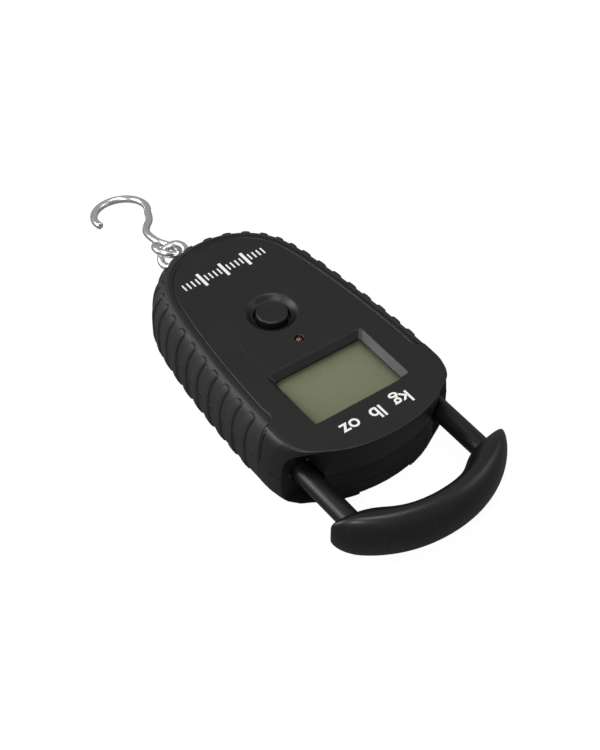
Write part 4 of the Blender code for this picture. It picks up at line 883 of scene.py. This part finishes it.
# ------------------------------------------------------------------ rubber bands
@dataclass
class RibTree:
    """Geometry nodes that raise finger-shaped ribs on a rubber band."""

    pitch: float = 8.25 * MM
    width: float = 4.3 * MM
    height: float = 0.6 * MM
    tip: float = 4.2 * MM
    first: float = 111.7 * MM

    def tree(self) -> bpy.types.NodeTree:
        """Build the node tree.

        Returns:
            A tree whose inputs are the sizes, and which ends in a material.
        """
        tree = bpy.data.node_groups.new("finger_ribs", "GeometryNodeTree")
        sockets = tree.interface
        sockets.new_socket("Geometry", in_out="INPUT", socket_type="NodeSocketGeometry")
        for label in ("Pitch", "Width", "Height", "Tip", "First"):
            sockets.new_socket(label, in_out="INPUT", socket_type="NodeSocketFloat")
        sockets.new_socket("Material", in_out="INPUT", socket_type="NodeSocketMaterial")
        sockets.new_socket("Geometry", in_out="OUTPUT", socket_type="NodeSocketGeometry")
        graph = NodeGraph(tree)
        start = graph.add("NodeGroupInput")
        reads = {}
        for label in ("along", "down", "outer"):
            node = graph.add("GeometryNodeInputNamedAttribute", data_type="FLOAT")
            node.inputs["Name"].default_value = label
            reads[label] = node.outputs["Attribute"]
        pitch, width = start.outputs["Pitch"], start.outputs["Width"]
        turns = graph.maths("DIVIDE", graph.maths("SUBTRACT", reads["along"], start.outputs["First"]),
                            pitch)
        nearest = graph.maths("ROUND", turns)
        inside = graph.maths("LESS_THAN", nearest, 0.5)
        across = graph.maths("MULTIPLY", graph.maths("SUBTRACT", turns, nearest), pitch)
        half = graph.maths("MULTIPLY", width, 0.5)
        share = graph.maths("DIVIDE", across, half)
        down = graph.maths("SUBTRACT", reads["down"], start.outputs["Tip"])
        cap = graph.maths("MULTIPLY", half, graph.maths("SUBTRACT", 1.0, graph.maths(
            "SQRT", graph.maths("MAXIMUM", 0.0, graph.maths(
                "SUBTRACT", 1.0, graph.maths("MULTIPLY", share, share))))))
        into = graph.maths("SUBTRACT", down, cap)
        to_handle = graph.maths("SUBTRACT", half, across)
        to_hook = graph.maths("ADD", half, across)
        steep = graph.remap(graph.maths("MINIMUM", to_handle, into), 0.0, 0.40 * MM, 0.0, 1.0, True)
        gentle = graph.remap(to_hook, 0.0, 0.7 * MM, 0.0, 1.0, True)
        crown = graph.remap(graph.maths("ABSOLUTE", share), 0.0, 1.0, 1.0, 0.80)
        finger = graph.maths("MULTIPLY", graph.maths("MULTIPLY", steep, gentle), crown)
        trench = graph.maths("MULTIPLY", graph.remap(
            graph.maths("ABSOLUTE", graph.maths("SUBTRACT", graph.maths("MINIMUM", to_handle, into),
                                                -0.25 * MM)), 0.0, 0.42 * MM, 1.0, 0.0, True), 0.38)
        gate = graph.remap(to_hook, 0.0, 0.9 * MM, 0.0, 1.0, True)
        finger = graph.maths("SUBTRACT", finger, graph.maths("MULTIPLY", trench, gate))
        level = graph.maths("SUBTRACT", graph.maths("MULTIPLY", finger, inside), graph.remap(
            reads["down"], 1.2 * MM, 3.2 * MM, 0.0, 0.38, True))
        lift = graph.maths("MULTIPLY", graph.maths("MULTIPLY", level, start.outputs["Height"]),
                           reads["outer"])
        normal = graph.add("GeometryNodeInputNormal").outputs[0]
        offset = graph.add("ShaderNodeVectorMath", operation="SCALE")
        graph.feed(offset.inputs[0], normal)
        graph.feed(offset.inputs["Scale"], lift)
        moved = graph.add("GeometryNodeSetPosition", {"Geometry": start.outputs["Geometry"],
                                                      "Offset": offset.outputs[0]})
        real = graph.add("GeometryNodeRealizeInstances", {"Geometry": moved.outputs[0]})
        painted = graph.add("GeometryNodeSetMaterial", {"Geometry": real.outputs[0],
                                                        "Material": start.outputs["Material"]})
        graph.add("NodeGroupOutput", {"Geometry": painted.outputs[0]})
        return tree

    def apply(self, band: bpy.types.Object, finish: Finish) -> None:
        """Raise the ribs on a band and turn the result into plain mesh."""
        modifier = band.modifiers.new("ribs", "NODES")
        modifier.node_group = self.tree()
        values = {"Pitch": self.pitch, "Width": self.width, "Height": self.height, "Tip": self.tip,
                  "First": self.first, "Material": finish.material()}
        for item in modifier.node_group.interface.items_tree:
            if item.in_out == "INPUT" and item.name in values:
                modifier[item.identifier] = values[item.name]
        bake(band)


@dataclass
class RubberBand:
    """One U-shaped rubber band round the sides and the hook end."""

    housing: Housing
    ribs: RibTree
    stations: int = 980
    end_radius: float = 0.5 * MM

    def run(self, z: float, inset: float) -> List[Vector]:
        """Points at one height from the right end of the band round the hook end to the left one.

        Args:
            z: Height.
            inset: Distance in from the body's surface.

        Returns:
            Evenly spaced points, as many as there are stations.
        """
        start_y = self.housing.band_start_y + GAP
        ring = self.housing.shape.ring(z, inset)
        half = len(ring) // 2
        right = ring[:half + 1]
        k = max(i for i in range(half) if right[i].y <= start_y and right[i].x > 0)
        share = (start_y - right[k].y) / (right[k + 1].y - right[k].y)
        line = [right[k].lerp(right[k + 1], share)] + right[k + 1:]
        line += [Vector((-point.x, point.y, point.z)) for point in reversed(line[:-1])]
        lengths = [0.0]
        for first, second in zip(line, line[1:]):
            lengths.append(lengths[-1] + (second - first).length)
        points, k = [], 0
        for i in range(self.stations):
            target = lengths[-1] * i / (self.stations - 1)
            while k < len(lengths) - 2 and lengths[k + 1] < target:
                k += 1
            share = (target - lengths[k]) / max(1e-12, lengths[k + 1] - lengths[k])
            points.append(line[k].lerp(line[k + 1], min(1.0, share)))
        return points

    def along(self, point: Vector) -> float:
        """Distance round the band from the hook's direction, leaning with the ribs."""
        centre_y, quarter = 16.9 * MM, 52.0 * MM
        bow = 2.5 * MM * max(0.0, 1.0 - ((point.z - 14 * MM) / (15 * MM)) ** 2)
        y = point.y - bow
        if y < centre_y:
            return quarter + (centre_y - y)
        return quarter * math.atan2(abs(point.x) / 36, (y - centre_y) / 30) / (0.5 * math.pi)

    def section(self, upper: bool) -> List[Tuple[float, float, float]]:
        """Section of the band as height, inset and 1 on the outer face.

        Args:
            upper: True for the band on the face half.

        Returns:
            The closed section, outer face first.
        """
        shape = self.housing.shape
        if upper:
            z0, z1 = shape.seam_z + 0.5 * GAP, shape.height
            outer = [shape.seam_z + (z1 - shape.seam_z) * math.sin(math.radians(a))
                     for a in [x * 2.5 for x in range(1, 36)]]
            outer = [z0] + [z for z in outer if z > z0 + 0.1 * MM] + [z1]
            lip = self.housing.face_lip - GAP
            section = [(z, 0.0, 1.0) for z in outer]
            section += [(z1, lip * s, 1.0) for s in (0.25, 0.5, 0.75)]
            section += [(z1 - 0.06 * MM, lip - 0.1 * MM, 0.0)]
            section += [(z, self.housing.core_inset(z) - GAP, 0.0)
                        for z in (z1 - 0.25 * MM, z1 - 1.5 * MM, z1 - 3 * MM, z1 - 8 * MM, z0)]
        else:
            z0, z1 = self.housing.rear_band_z + GAP, shape.seam_z - 0.5 * GAP
            outer = [z0 + (z1 - z0) * i / 26 for i in range(27)]
            section = [(z, 0.0, 1.0) for z in reversed(outer)]
            section += [(z, self.housing.core_inset(z) - GAP, 0.0)
                        for z in (z0, 0.5 * (z0 + z1), z1)]
        return section

    def build(self, name: str, upper: bool, node: str) -> None:
        """Make one band with its ribs and put it on the housing.

        Args:
            name: Name of the piece.
            upper: True for the band on the face half.
            node: The CAD node that it stands for.
        """
        section = self.section(upper)
        lines = [self.run(z, inset) for z, inset, _ in section]
        rings = [[line[i] for line in lines] for i in range(self.stations)]
        band = loft(name, rings)
        downs, lip = [], self.housing.face_lip
        for k, (z, inset, _) in enumerate(section):
            first = self.housing.shape.height - self.housing.shape.seam_z
            rise = min(1.0, max(0.0, (z - self.housing.shape.seam_z) / first))
            arc = (0.5 * math.pi - math.asin(rise)) * 0.5 * (first + self.housing.shape.top_inset)
            downs.append(max(0.0, lip - inset) if z >= self.housing.shape.height - 1e-6
                         else lip + arc if z > self.housing.shape.seam_z else 20 * MM)
        count = len(section)
        for label, values in (
                ("along", [self.along(point) for ring in rings for point in ring]),
                ("down", [downs[i % count] for i in range(count * self.stations)]),
                ("outer", [section[i % count][2] for i in range(count * self.stations)])):
            attribute = band.data.attributes.new(label, "FLOAT", "POINT")
            attribute.data.foreach_set("value", values)
        self.ribs.apply(band, RUBBER)
        if not upper:
            passage = turned("tool", "Y", (0, 0, 9 * MM), ((30 * MM, 3.7 * MM), (60 * MM, 3.7 * MM)), 40)
            cut(band, passage)
        band.name = name
        dress_piece(shade(band, 50.0, weighted=False), RUBBER, "housing", node)


# ------------------------------------------------------------------ display, button and lamp
@dataclass
class Controls:
    """Power button and status lamp."""

    housing: Housing
    button_radius: float = 6.1 * MM
    button_top: float = 30.2 * MM
    lamp_radius: float = 1.45 * MM

    def button(self) -> None:
        """Make the round key with its soft rim and slightly hollow top."""
        top, radius = self.button_top, self.button_radius
        profile = [(24.25 * MM, 2.0 * MM), (24.7 * MM, 2.0 * MM), (24.71 * MM, 8.2 * MM),
                   (25.5 * MM, 8.2 * MM), (25.51 * MM, radius), (top - 0.8 * MM, radius)]
        profile += [(top - 0.8 * MM * (1 - math.sin(math.radians(a))),
                     radius - 0.8 * MM * (1 - math.cos(math.radians(a)))) for a in (20, 40, 60, 80, 90)]
        for share in (0.8, 0.6, 0.4, 0.2, 0.06):
            r = (radius - 0.8 * MM) * share
            profile.append((top - 0.28 * MM * (1 - share * share), r))
        key = turned("button_cap", "Z", (0, self.housing.button_y, 0), profile, 96)
        dress_piece(shade(key, 35.0), FACE_PLASTIC, "button", "power_button")

    def lamp(self) -> None:
        """Make the lamp's dome with its flange."""
        top, radius = 30.1 * MM, self.lamp_radius
        profile = [(26.6 * MM, radius + 0.4 * MM), (27.4 * MM, radius + 0.4 * MM),
                   (27.41 * MM, radius), (top - radius, radius)]
        profile += [(top - radius * (1 - math.sin(math.radians(a))), radius * math.cos(math.radians(a)))
                    for a in range(12, 88, 12)]
        dome = turned("lamp_dome", "Z", (0, self.housing.lamp_y, 0), profile, 48)
        dress_piece(shade(dome, 50.0), LAMP_RED, "housing", "status_lamp")

    def build(self) -> None:
        """Make the button and the lamp."""
        self.button()
        self.lamp()


# ------------------------------------------------------------------ printed marks
@dataclass
class TickTree:
    """Geometry nodes that lay out a printed row of tick marks."""

    count: int = 19
    span: float = 36.0 * MM
    thickness: float = 0.07 * MM

    def tree(self) -> bpy.types.NodeTree:
        """Build the node tree: short bars, with a long one at each fifth place."""
        tree = bpy.data.node_groups.new("tick_row", "GeometryNodeTree")
        sockets = tree.interface
        sockets.new_socket("Count", in_out="INPUT", socket_type="NodeSocketInt")
        for label in ("Span", "Short", "Long", "Width", "Thickness"):
            sockets.new_socket(label, in_out="INPUT", socket_type="NodeSocketFloat")
        sockets.new_socket("Place", in_out="INPUT", socket_type="NodeSocketVector")
        sockets.new_socket("Material", in_out="INPUT", socket_type="NodeSocketMaterial")
        sockets.new_socket("Geometry", in_out="OUTPUT", socket_type="NodeSocketGeometry")
        graph = NodeGraph(tree)
        start = graph.add("NodeGroupInput")
        gaps = graph.maths("SUBTRACT", start.outputs["Count"], 1.0)
        step = graph.maths("DIVIDE", start.outputs["Span"], gaps)
        first = graph.add("ShaderNodeCombineXYZ", {0: graph.maths("MULTIPLY", start.outputs["Span"], -0.5)})
        shift = graph.add("ShaderNodeCombineXYZ", {0: step})
        line = graph.add("GeometryNodeMeshLine", {"Count": start.outputs["Count"],
                                                  "Start Location": first.outputs[0],
                                                  "Offset": shift.outputs[0]})
        bar_size = graph.add("ShaderNodeCombineXYZ", {0: start.outputs["Width"], 1: 1 * MM,
                                                      2: start.outputs["Thickness"]})
        bar = graph.add("GeometryNodeMeshCube", {"Size": bar_size.outputs[0]})
        index = graph.add("GeometryNodeInputIndex").outputs[0]
        fifth = graph.maths("COMPARE", graph.maths("MODULO", graph.maths("ADD", index, 1.0), 5.0), 0.0, 0.1)
        length = graph.maths("DIVIDE", graph.maths("ADD", graph.maths(
            "MULTIPLY", fifth, graph.maths("SUBTRACT", start.outputs["Long"], start.outputs["Short"])),
            start.outputs["Short"]), 1 * MM)
        scale = graph.add("ShaderNodeCombineXYZ", {0: graph.maths("ADD", 1.0, fifth), 1: length, 2: 1.0})
        laid = graph.add("GeometryNodeInstanceOnPoints", {"Points": line.outputs[0],
                                                          "Instance": bar.outputs[0],
                                                          "Scale": scale.outputs[0]})
        real = graph.add("GeometryNodeRealizeInstances", {"Geometry": laid.outputs[0]})
        placed = graph.add("GeometryNodeTransform", {"Geometry": real.outputs[0],
                                                     "Translation": start.outputs["Place"]})
        painted = graph.add("GeometryNodeSetMaterial", {"Geometry": placed.outputs[0],
                                                        "Material": start.outputs["Material"]})
        graph.add("NodeGroupOutput", {"Geometry": painted.outputs[0]})
        return tree


@dataclass
class PrintedMarks:
    """Plain white marks on the face: a tick row by the hook, the units by the grip."""

    face_z: float = 30.0 * MM
    tick_y: float = 24.5 * MM
    unit_y: float = -68.6 * MM
    unit_size: float = 8.2 * MM

    def ticks(self) -> None:
        """Make the tick row."""
        rule = TickTree()
        mesh = bpy.data.meshes.new("tick_marks")
        row = bpy.data.objects.new("tick_marks", mesh)
        bpy.context.scene.collection.objects.link(row)
        modifier = row.modifiers.new("ticks", "NODES")
        modifier.node_group = rule.tree()
        values = {"Count": rule.count, "Span": rule.span, "Short": 3.4 * MM, "Long": 7.6 * MM,
                  "Width": 0.62 * MM, "Thickness": rule.thickness,
                  "Place": (-1.0 * MM, self.tick_y, self.face_z + 0.4 * rule.thickness),
                  "Material": PRINT_WHITE.material()}
        for item in modifier.node_group.interface.items_tree:
            if item.in_out == "INPUT" and item.name in values:
                modifier[item.identifier] = values[item.name]
        dress_piece(bake(row), PRINT_WHITE, "housing")

    def units(self) -> None:
        """Print the units that the display can show, to be read from the hook's side."""
        curve = bpy.data.curves.new("unit_marks", "FONT")
        curve.body = "kg  lb  oz"
        curve.size = self.unit_size
        curve.align_x = "CENTER"
        curve.align_y = "CENTER"
        curve.extrude = 0.03 * MM
        curve.offset = 0.10 * MM
        curve.resolution_u = 5
        text = bpy.data.objects.new("unit_marks", curve)
        bpy.context.scene.collection.objects.link(text)
        depsgraph = bpy.context.evaluated_depsgraph_get()
        mesh = bpy.data.meshes.new_from_object(text.evaluated_get(depsgraph))
        bpy.data.objects.remove(text)
        mesh.transform(Matrix.Translation((0, self.unit_y, self.face_z + 0.02 * MM))
                       @ Matrix.Rotation(math.pi, 4, "Z"))
        piece = bpy.data.objects.new("unit_marks", mesh)
        bpy.context.scene.collection.objects.link(piece)
        dress_piece(piece, PRINT_WHITE, "housing")

    def build(self) -> None:
        """Make both marks."""
        self.ticks()
        self.units()


# ------------------------------------------------------------------ hook and eye
@dataclass
class HookGear:
    """Wire hook and the eye bolt it hangs from, both bent from round steel."""

    wire_radius: float = 1.5 * MM
    bolt_eye: float = 5.4 * MM
    bolt_eye_y: float = 62.4 * MM
    bolt_tilt: float = math.radians(-24.0)
    hook_eye: float = 5.0 * MM
    hook_offset: float = 4.5 * MM
    hook_tilt: float = math.radians(24.0)
    arc_radius: float = 11.2 * MM
    arc_centre: float = 35.6 * MM
    axis_z: float = 9.0 * MM
    table_gap: float = 0.05 * MM
    shank_radius: float = 2.0 * MM

    @property
    def droop(self) -> float:
        """Angle at which the hook's round end lies on the table."""
        return -math.asin((self.axis_z - self.wire_radius - self.table_gap) / (self.arc_centre + self.arc_radius))

    def loop(self, radius: float, sign: int) -> List[Point]:
        """Eye that starts beside the neck and runs round until it almost meets it again."""
        points = [(0.0, radius + 5.4 * MM), (0.05 * MM, radius + 3.9 * MM),
                  (0.55 * MM, radius + 2.0 * MM), (1.75 * MM, radius + 0.35 * MM)]
        for step in range(25):
            turn = math.radians(42 + (332 - 42) * step / 24)
            points.append((radius * math.sin(turn), radius * math.cos(turn)))
        return [(sign * x, y) for x, y in reversed(points)]

    def hook(self) -> None:
        """Bend the hook: eye, neck, sweep and tip."""
        centre = Vector((0, self.bolt_eye_y + self.hook_offset, self.axis_z))
        keys = [(x, y, self.hook_tilt) for x, y in self.loop(self.hook_eye, 1)]
        keys += [(x * MM, y * MM, 0.0) for x, y in ((0.0, 13.0), (0.7, 16.8), (3.0, 20.1), (6.4, 23.6))]
        for step in range(16):
            turn = math.radians(-36 + (191 + 36) * step / 15)
            keys.append((self.arc_radius * math.cos(turn),
                         self.arc_centre + self.arc_radius * math.sin(turn), 0.0))
        turn_down = Matrix.Rotation(self.droop, 3, "X")
        points = []
        for x, y, tilt in keys:
            fade = 1.0 - min(1.0, max(0.0, (y - self.hook_eye) / (7 * MM)))
            point = Matrix.Rotation(tilt * fade if tilt else 0.0, 3, "Y") @ Vector((x, y, 0))
            points.append(turn_down @ point + centre)
        path = through(points, 5)
        made = wire("wire_hook", path, [self.wire_radius] * len(path), 28)
        dress_piece(shade(made, 60.0, weighted=False), STEEL, "hook", "hook")

    def bolt(self) -> None:
        """Bend the eye bolt: shank, shoulder and eye."""
        centre = Vector((0, self.bolt_eye_y, self.axis_z))
        points = []
        for x, y in self.loop(self.bolt_eye, -1):
            fade = 1.0 - min(1.0, max(0.0, (y - self.bolt_eye) / (5 * MM)))
            point = Matrix.Rotation(self.bolt_tilt * fade, 3, "Y") @ Vector((-x, -y, 0))
            points.append(point + centre)
        neck = len(points)
        points += [Vector((0, y * MM, self.axis_z)) for y in (49.5, 46.0, 36.0, 24.0)]
        path = through(points, 5)
        radii = []
        for i in range(len(path)):
            into = max(0.0, min(1.0, (i - 5 * (neck - 2)) / 8))
            radii.append(self.wire_radius + (self.shank_radius - self.wire_radius) * into)
        made = wire("eye_wire", path, radii, 28)
        dress_piece(shade(made, 60.0, weighted=False), STEEL, "swivel_eye", "eye_bolt")

    def build(self) -> None:
        """Make the eye bolt and the hook."""
        self.bolt()
        self.hook()


# ------------------------------------------------------------------ pull grip
@dataclass
class PullGrip:
    """Crescent grip on two round rods."""

    arc_radius: float = 55.0 * MM
    middle_y: float = -108.4 * MM
    half_span: float = 38.3 * MM
    half_depth: float = 6.1 * MM
    half_height: float = 10.5 * MM
    swell: float = 3.6 * MM
    swell_width: float = 9.5 * MM
    rod_x: float = 29.15 * MM
    rod_radius: float = 4.0 * MM
    rod_outer_y: float = -101.0 * MM
    rod_inner_y: float = -45.1 * MM
    axis_z: float = 13.7 * MM

    def section(self, x: float) -> Tuple[float, float, float]:
        """Outer and inner half depth and half height of the grip at a distance from its middle."""
        share = min(1.0, abs(x) / self.half_span)
        outer = self.half_depth * math.sqrt(max(0.0, 1.0 - share ** 2.6))
        from_rod = (abs(x) - self.rod_x + 2 * MM) / self.swell_width
        inner = outer + self.swell * math.exp(-from_rod * from_rod)
        round_end = math.sqrt(max(0.0, 1.0 - max(0.0, (share - 0.78) / 0.22) ** 2))
        height = self.half_height * (1.0 - 0.16 * share ** 3) * (0.35 + 0.65 * round_end)
        return max(outer, 0.5 * MM), max(inner, 0.5 * MM), height

    def crescent(self) -> bpy.types.Object:
        """Make the grip with its two bores."""
        rings = []
        for i in range(97):
            x = self.half_span * math.sin(0.5 * math.pi * (2 * i / 96 - 1))
            angle = math.asin(x / self.arc_radius)
            centre = Vector((x, self.middle_y + self.arc_radius * (1 - math.cos(angle)), self.axis_z))
            outward = Vector((math.sin(angle), -math.cos(angle), 0))
            outer, inner, height = self.section(x)
            ring = []
            for k in range(48):
                turn = math.tau * k / 48
                depth = outer if math.cos(turn) > 0 else inner
                ring.append(centre + outward * depth * math.cos(turn)
                            + Vector((0, 0, height * math.sin(turn))))
            rings.append(ring)
        grip = loft("crescent_grip", rings)
        bores = [turned("tool", "Y", (side * self.rod_x, 0, self.axis_z),
                        ((self.rod_outer_y - GAP, self.rod_radius + GAP),
                         (-70 * MM, self.rod_radius + GAP)), 48) for side in (-1, 1)]
        return cut(grip, *bores)

    def rod(self, name: str, side: int) -> bpy.types.Object:
        """Make one rod with chamfered ends."""
        chamfer = 0.6 * MM
        return turned(name, "Y", (side * self.rod_x, 0, self.axis_z), (
            (self.rod_outer_y, self.rod_radius - chamfer), (self.rod_outer_y + chamfer, self.rod_radius),
            (-80 * MM, self.rod_radius), (-62 * MM, self.rod_radius),
            (self.rod_inner_y - chamfer, self.rod_radius), (self.rod_inner_y, self.rod_radius - chamfer)), 64)

    def build(self) -> None:
        """Make the grip and both rods."""
        dress_piece(shade(self.crescent(), 40.0, weighted=False), GRIP_PLASTIC, "grip_slide", "handle_grip")
        for label, side in (("left", -1), ("right", 1)):
            dress_piece(shade(self.rod(f"rod_{label}", side), 30.0), ROD_BLACK, "grip_slide",
                        f"slide_rod_{label}")


# ------------------------------------------------------------------ pieces kept from the CAD
KEPT: Dict[str, Finish] = {
    "rear_shell": CASE_PLASTIC, "battery_door": CASE_PLASTIC, "display_window": WINDOW,
    "lcd_panel": DISPLAY, "lcd_carrier": TRAY_BLACK, "elastomer_strip": RUBBER, "main_board": BOARD,
    "controller_chip": CHIP_BLACK, "tact_switch": CHIP_BLACK, "switch_plunger": NYLON,
    "battery_left": CELL_WRAP, "battery_right": CELL_WRAP, "contact_plate_left": NICKEL,
    "contact_plate_right": NICKEL, "contact_plate_bridge": NICKEL,
    "battery_spring_handle_end": NICKEL, "battery_spring_inner_end": NICKEL, "load_cell": ALUMINIUM,
    "strain_gauge_inner": GAUGE_FOIL, "strain_gauge_outer": GAUGE_FOIL,
    "load_cell_screw_left": PLATED, "load_cell_screw_right": PLATED, "eye_bolt_nut": PLATED,
    "eye_bushing": NYLON, "stop_collar_left": PLATED, "stop_collar_right": PLATED,
    "guide_bush_left": NYLON, "guide_bush_right": NYLON,
}
KEPT.update({f"{kind}_screw_{i}": PLATED for kind in ("case", "board") for i in range(1, 5)})


def dress_kept_pieces() -> None:
    """Give every piece kept from the CAD its detailed finish."""
    for node, finish in KEPT.items():
        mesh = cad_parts[node].data
        mesh.materials.clear()
        mesh.materials.append(finish.material())
        LOG.info("%s: kept, finish %s", node, finish.name)


# ------------------------------------------------------------------ studio
@dataclass
class Studio:
    """White table, soft lights and the camera."""

    floor_z: float = -0.05 * MM
    lens: float = 91.0
    position: Colour = (-0.2940, -0.4215, 0.5158)
    right: Colour = (0.8060, -0.5920, 0.0021)
    up: Colour = (0.4214, 0.5762, 0.7005)

    def floor(self) -> None:
        """Make the pale table that the scale lies on."""
        size = 3.0
        table = make_object("table", [Vector((x, y, self.floor_z)) for x, y in
                                      ((-size, -size), (size, -size), (size, size), (-size, size))],
                            [(0, 1, 2, 3)])
        if table.data.polygons[0].normal.z < 0:
            table.data.flip_normals()
        pale = bpy.data.materials.new("pale_table")
        pale.use_nodes = True
        graph = NodeGraph(pale.node_tree)
        shader = pale.node_tree.nodes["Principled BSDF"]
        seen = graph.add("ShaderNodeLightPath").outputs["Is Camera Ray"]
        tone = graph.remap(seen, 0.0, 1.0, 0.20, 0.15)
        grey = graph.add("ShaderNodeCombineColor", {0: tone, 1: tone, 2: tone})
        graph.feed(shader.inputs["Base Color"], grey.outputs[0])
        shader.inputs["Roughness"].default_value = 0.9
        shader.inputs["Specular IOR Level"].default_value = 0.1
        shader.inputs["Emission Color"].default_value = (1.0, 1.0, 1.0, 1.0)
        graph.feed(shader.inputs["Emission Strength"], graph.remap(seen, 0.0, 1.0, 0.0, 0.92))
        table.data.materials.append(pale)

    def light(self, name: str, place: Colour, target: Colour, size: Point, power: float) -> None:
        """Hang one soft rectangular light.

        Args:
            name: Name of the light.
            place: Where it hangs.
            target: The point that it faces.
            size: Its width and height.
            power: Its power in watts.
        """
        data = bpy.data.lights.new(name, "AREA")
        data.shape = "RECTANGLE"
        data.size, data.size_y = size
        data.energy = power
        lamp = bpy.data.objects.new(name, data)
        bpy.context.scene.collection.objects.link(lamp)
        lamp.location = place
        lamp.rotation_euler = (Vector(target) - Vector(place)).to_track_quat("-Z", "Y").to_euler()

    def lights(self) -> None:
        """Hang the studio lights and set the surrounding light."""
        self.light("key_softbox", (-1.00, 0.78, 0.62), (0, -0.03, 0), (0.9, 0.7), 12.0)
        self.light("near_softbox", (-0.85, -0.55, 0.85), (0, -0.05, 0), (0.3, 0.3), 5.0)
        self.light("overhead_softbox", (-0.05, -0.05, 1.15), (0, 0, 0), (0.5, 0.5), 4.0)
        self.light("right_softbox", (0.9, -0.5, 0.7), (0, -0.03, 0), (0.5, 0.5), 1.5)
        world = bpy.data.worlds.new("studio")
        world.use_nodes = True
        sky = world.node_tree.nodes["Background"]
        sky.inputs["Color"].default_value = (1.0, 1.0, 1.0, 1.0)
        sky.inputs["Strength"].default_value = 0.34
        bpy.context.scene.world = world

    def camera(self) -> None:
        """Place the camera."""
        data = bpy.data.cameras.new("camera")
        data.lens = self.lens
        data.sensor_width = 36.0
        data.clip_start = 0.01
        made = bpy.data.objects.new("camera", data)
        bpy.context.scene.collection.objects.link(made)
        right = Vector(self.right).normalized()
        up = Vector(self.up)
        up = (up - right * up.dot(right)).normalized()
        back = right.cross(up)
        pose = Matrix((right, up, back)).transposed().to_4x4()
        pose.translation = Vector(self.position)
        made.matrix_world = pose
        bpy.context.scene.camera = made

    def build(self) -> None:
        """Set up the studio."""
        self.floor()
        self.lights()
        self.camera()
        bpy.context.scene.view_settings.view_transform = "Standard"


def main() -> None:
    """Build every piece in order, then the studio."""
    logging.basicConfig(level=logging.INFO, format="%(name)s: %(message)s")
    housing = Housing(BodyShape())
    housing.build()
    band = RubberBand(housing, RibTree())
    band.build("upper_rubber", True, "front_rubber_grip")
    band.build("lower_rubber", False, "rear_rubber_grip")
    Controls(housing).build()
    PrintedMarks().build()
    HookGear().build()
    PullGrip().build()
    dress_kept_pieces()
    Studio().build()


if __name__ == "__main__":
    main()
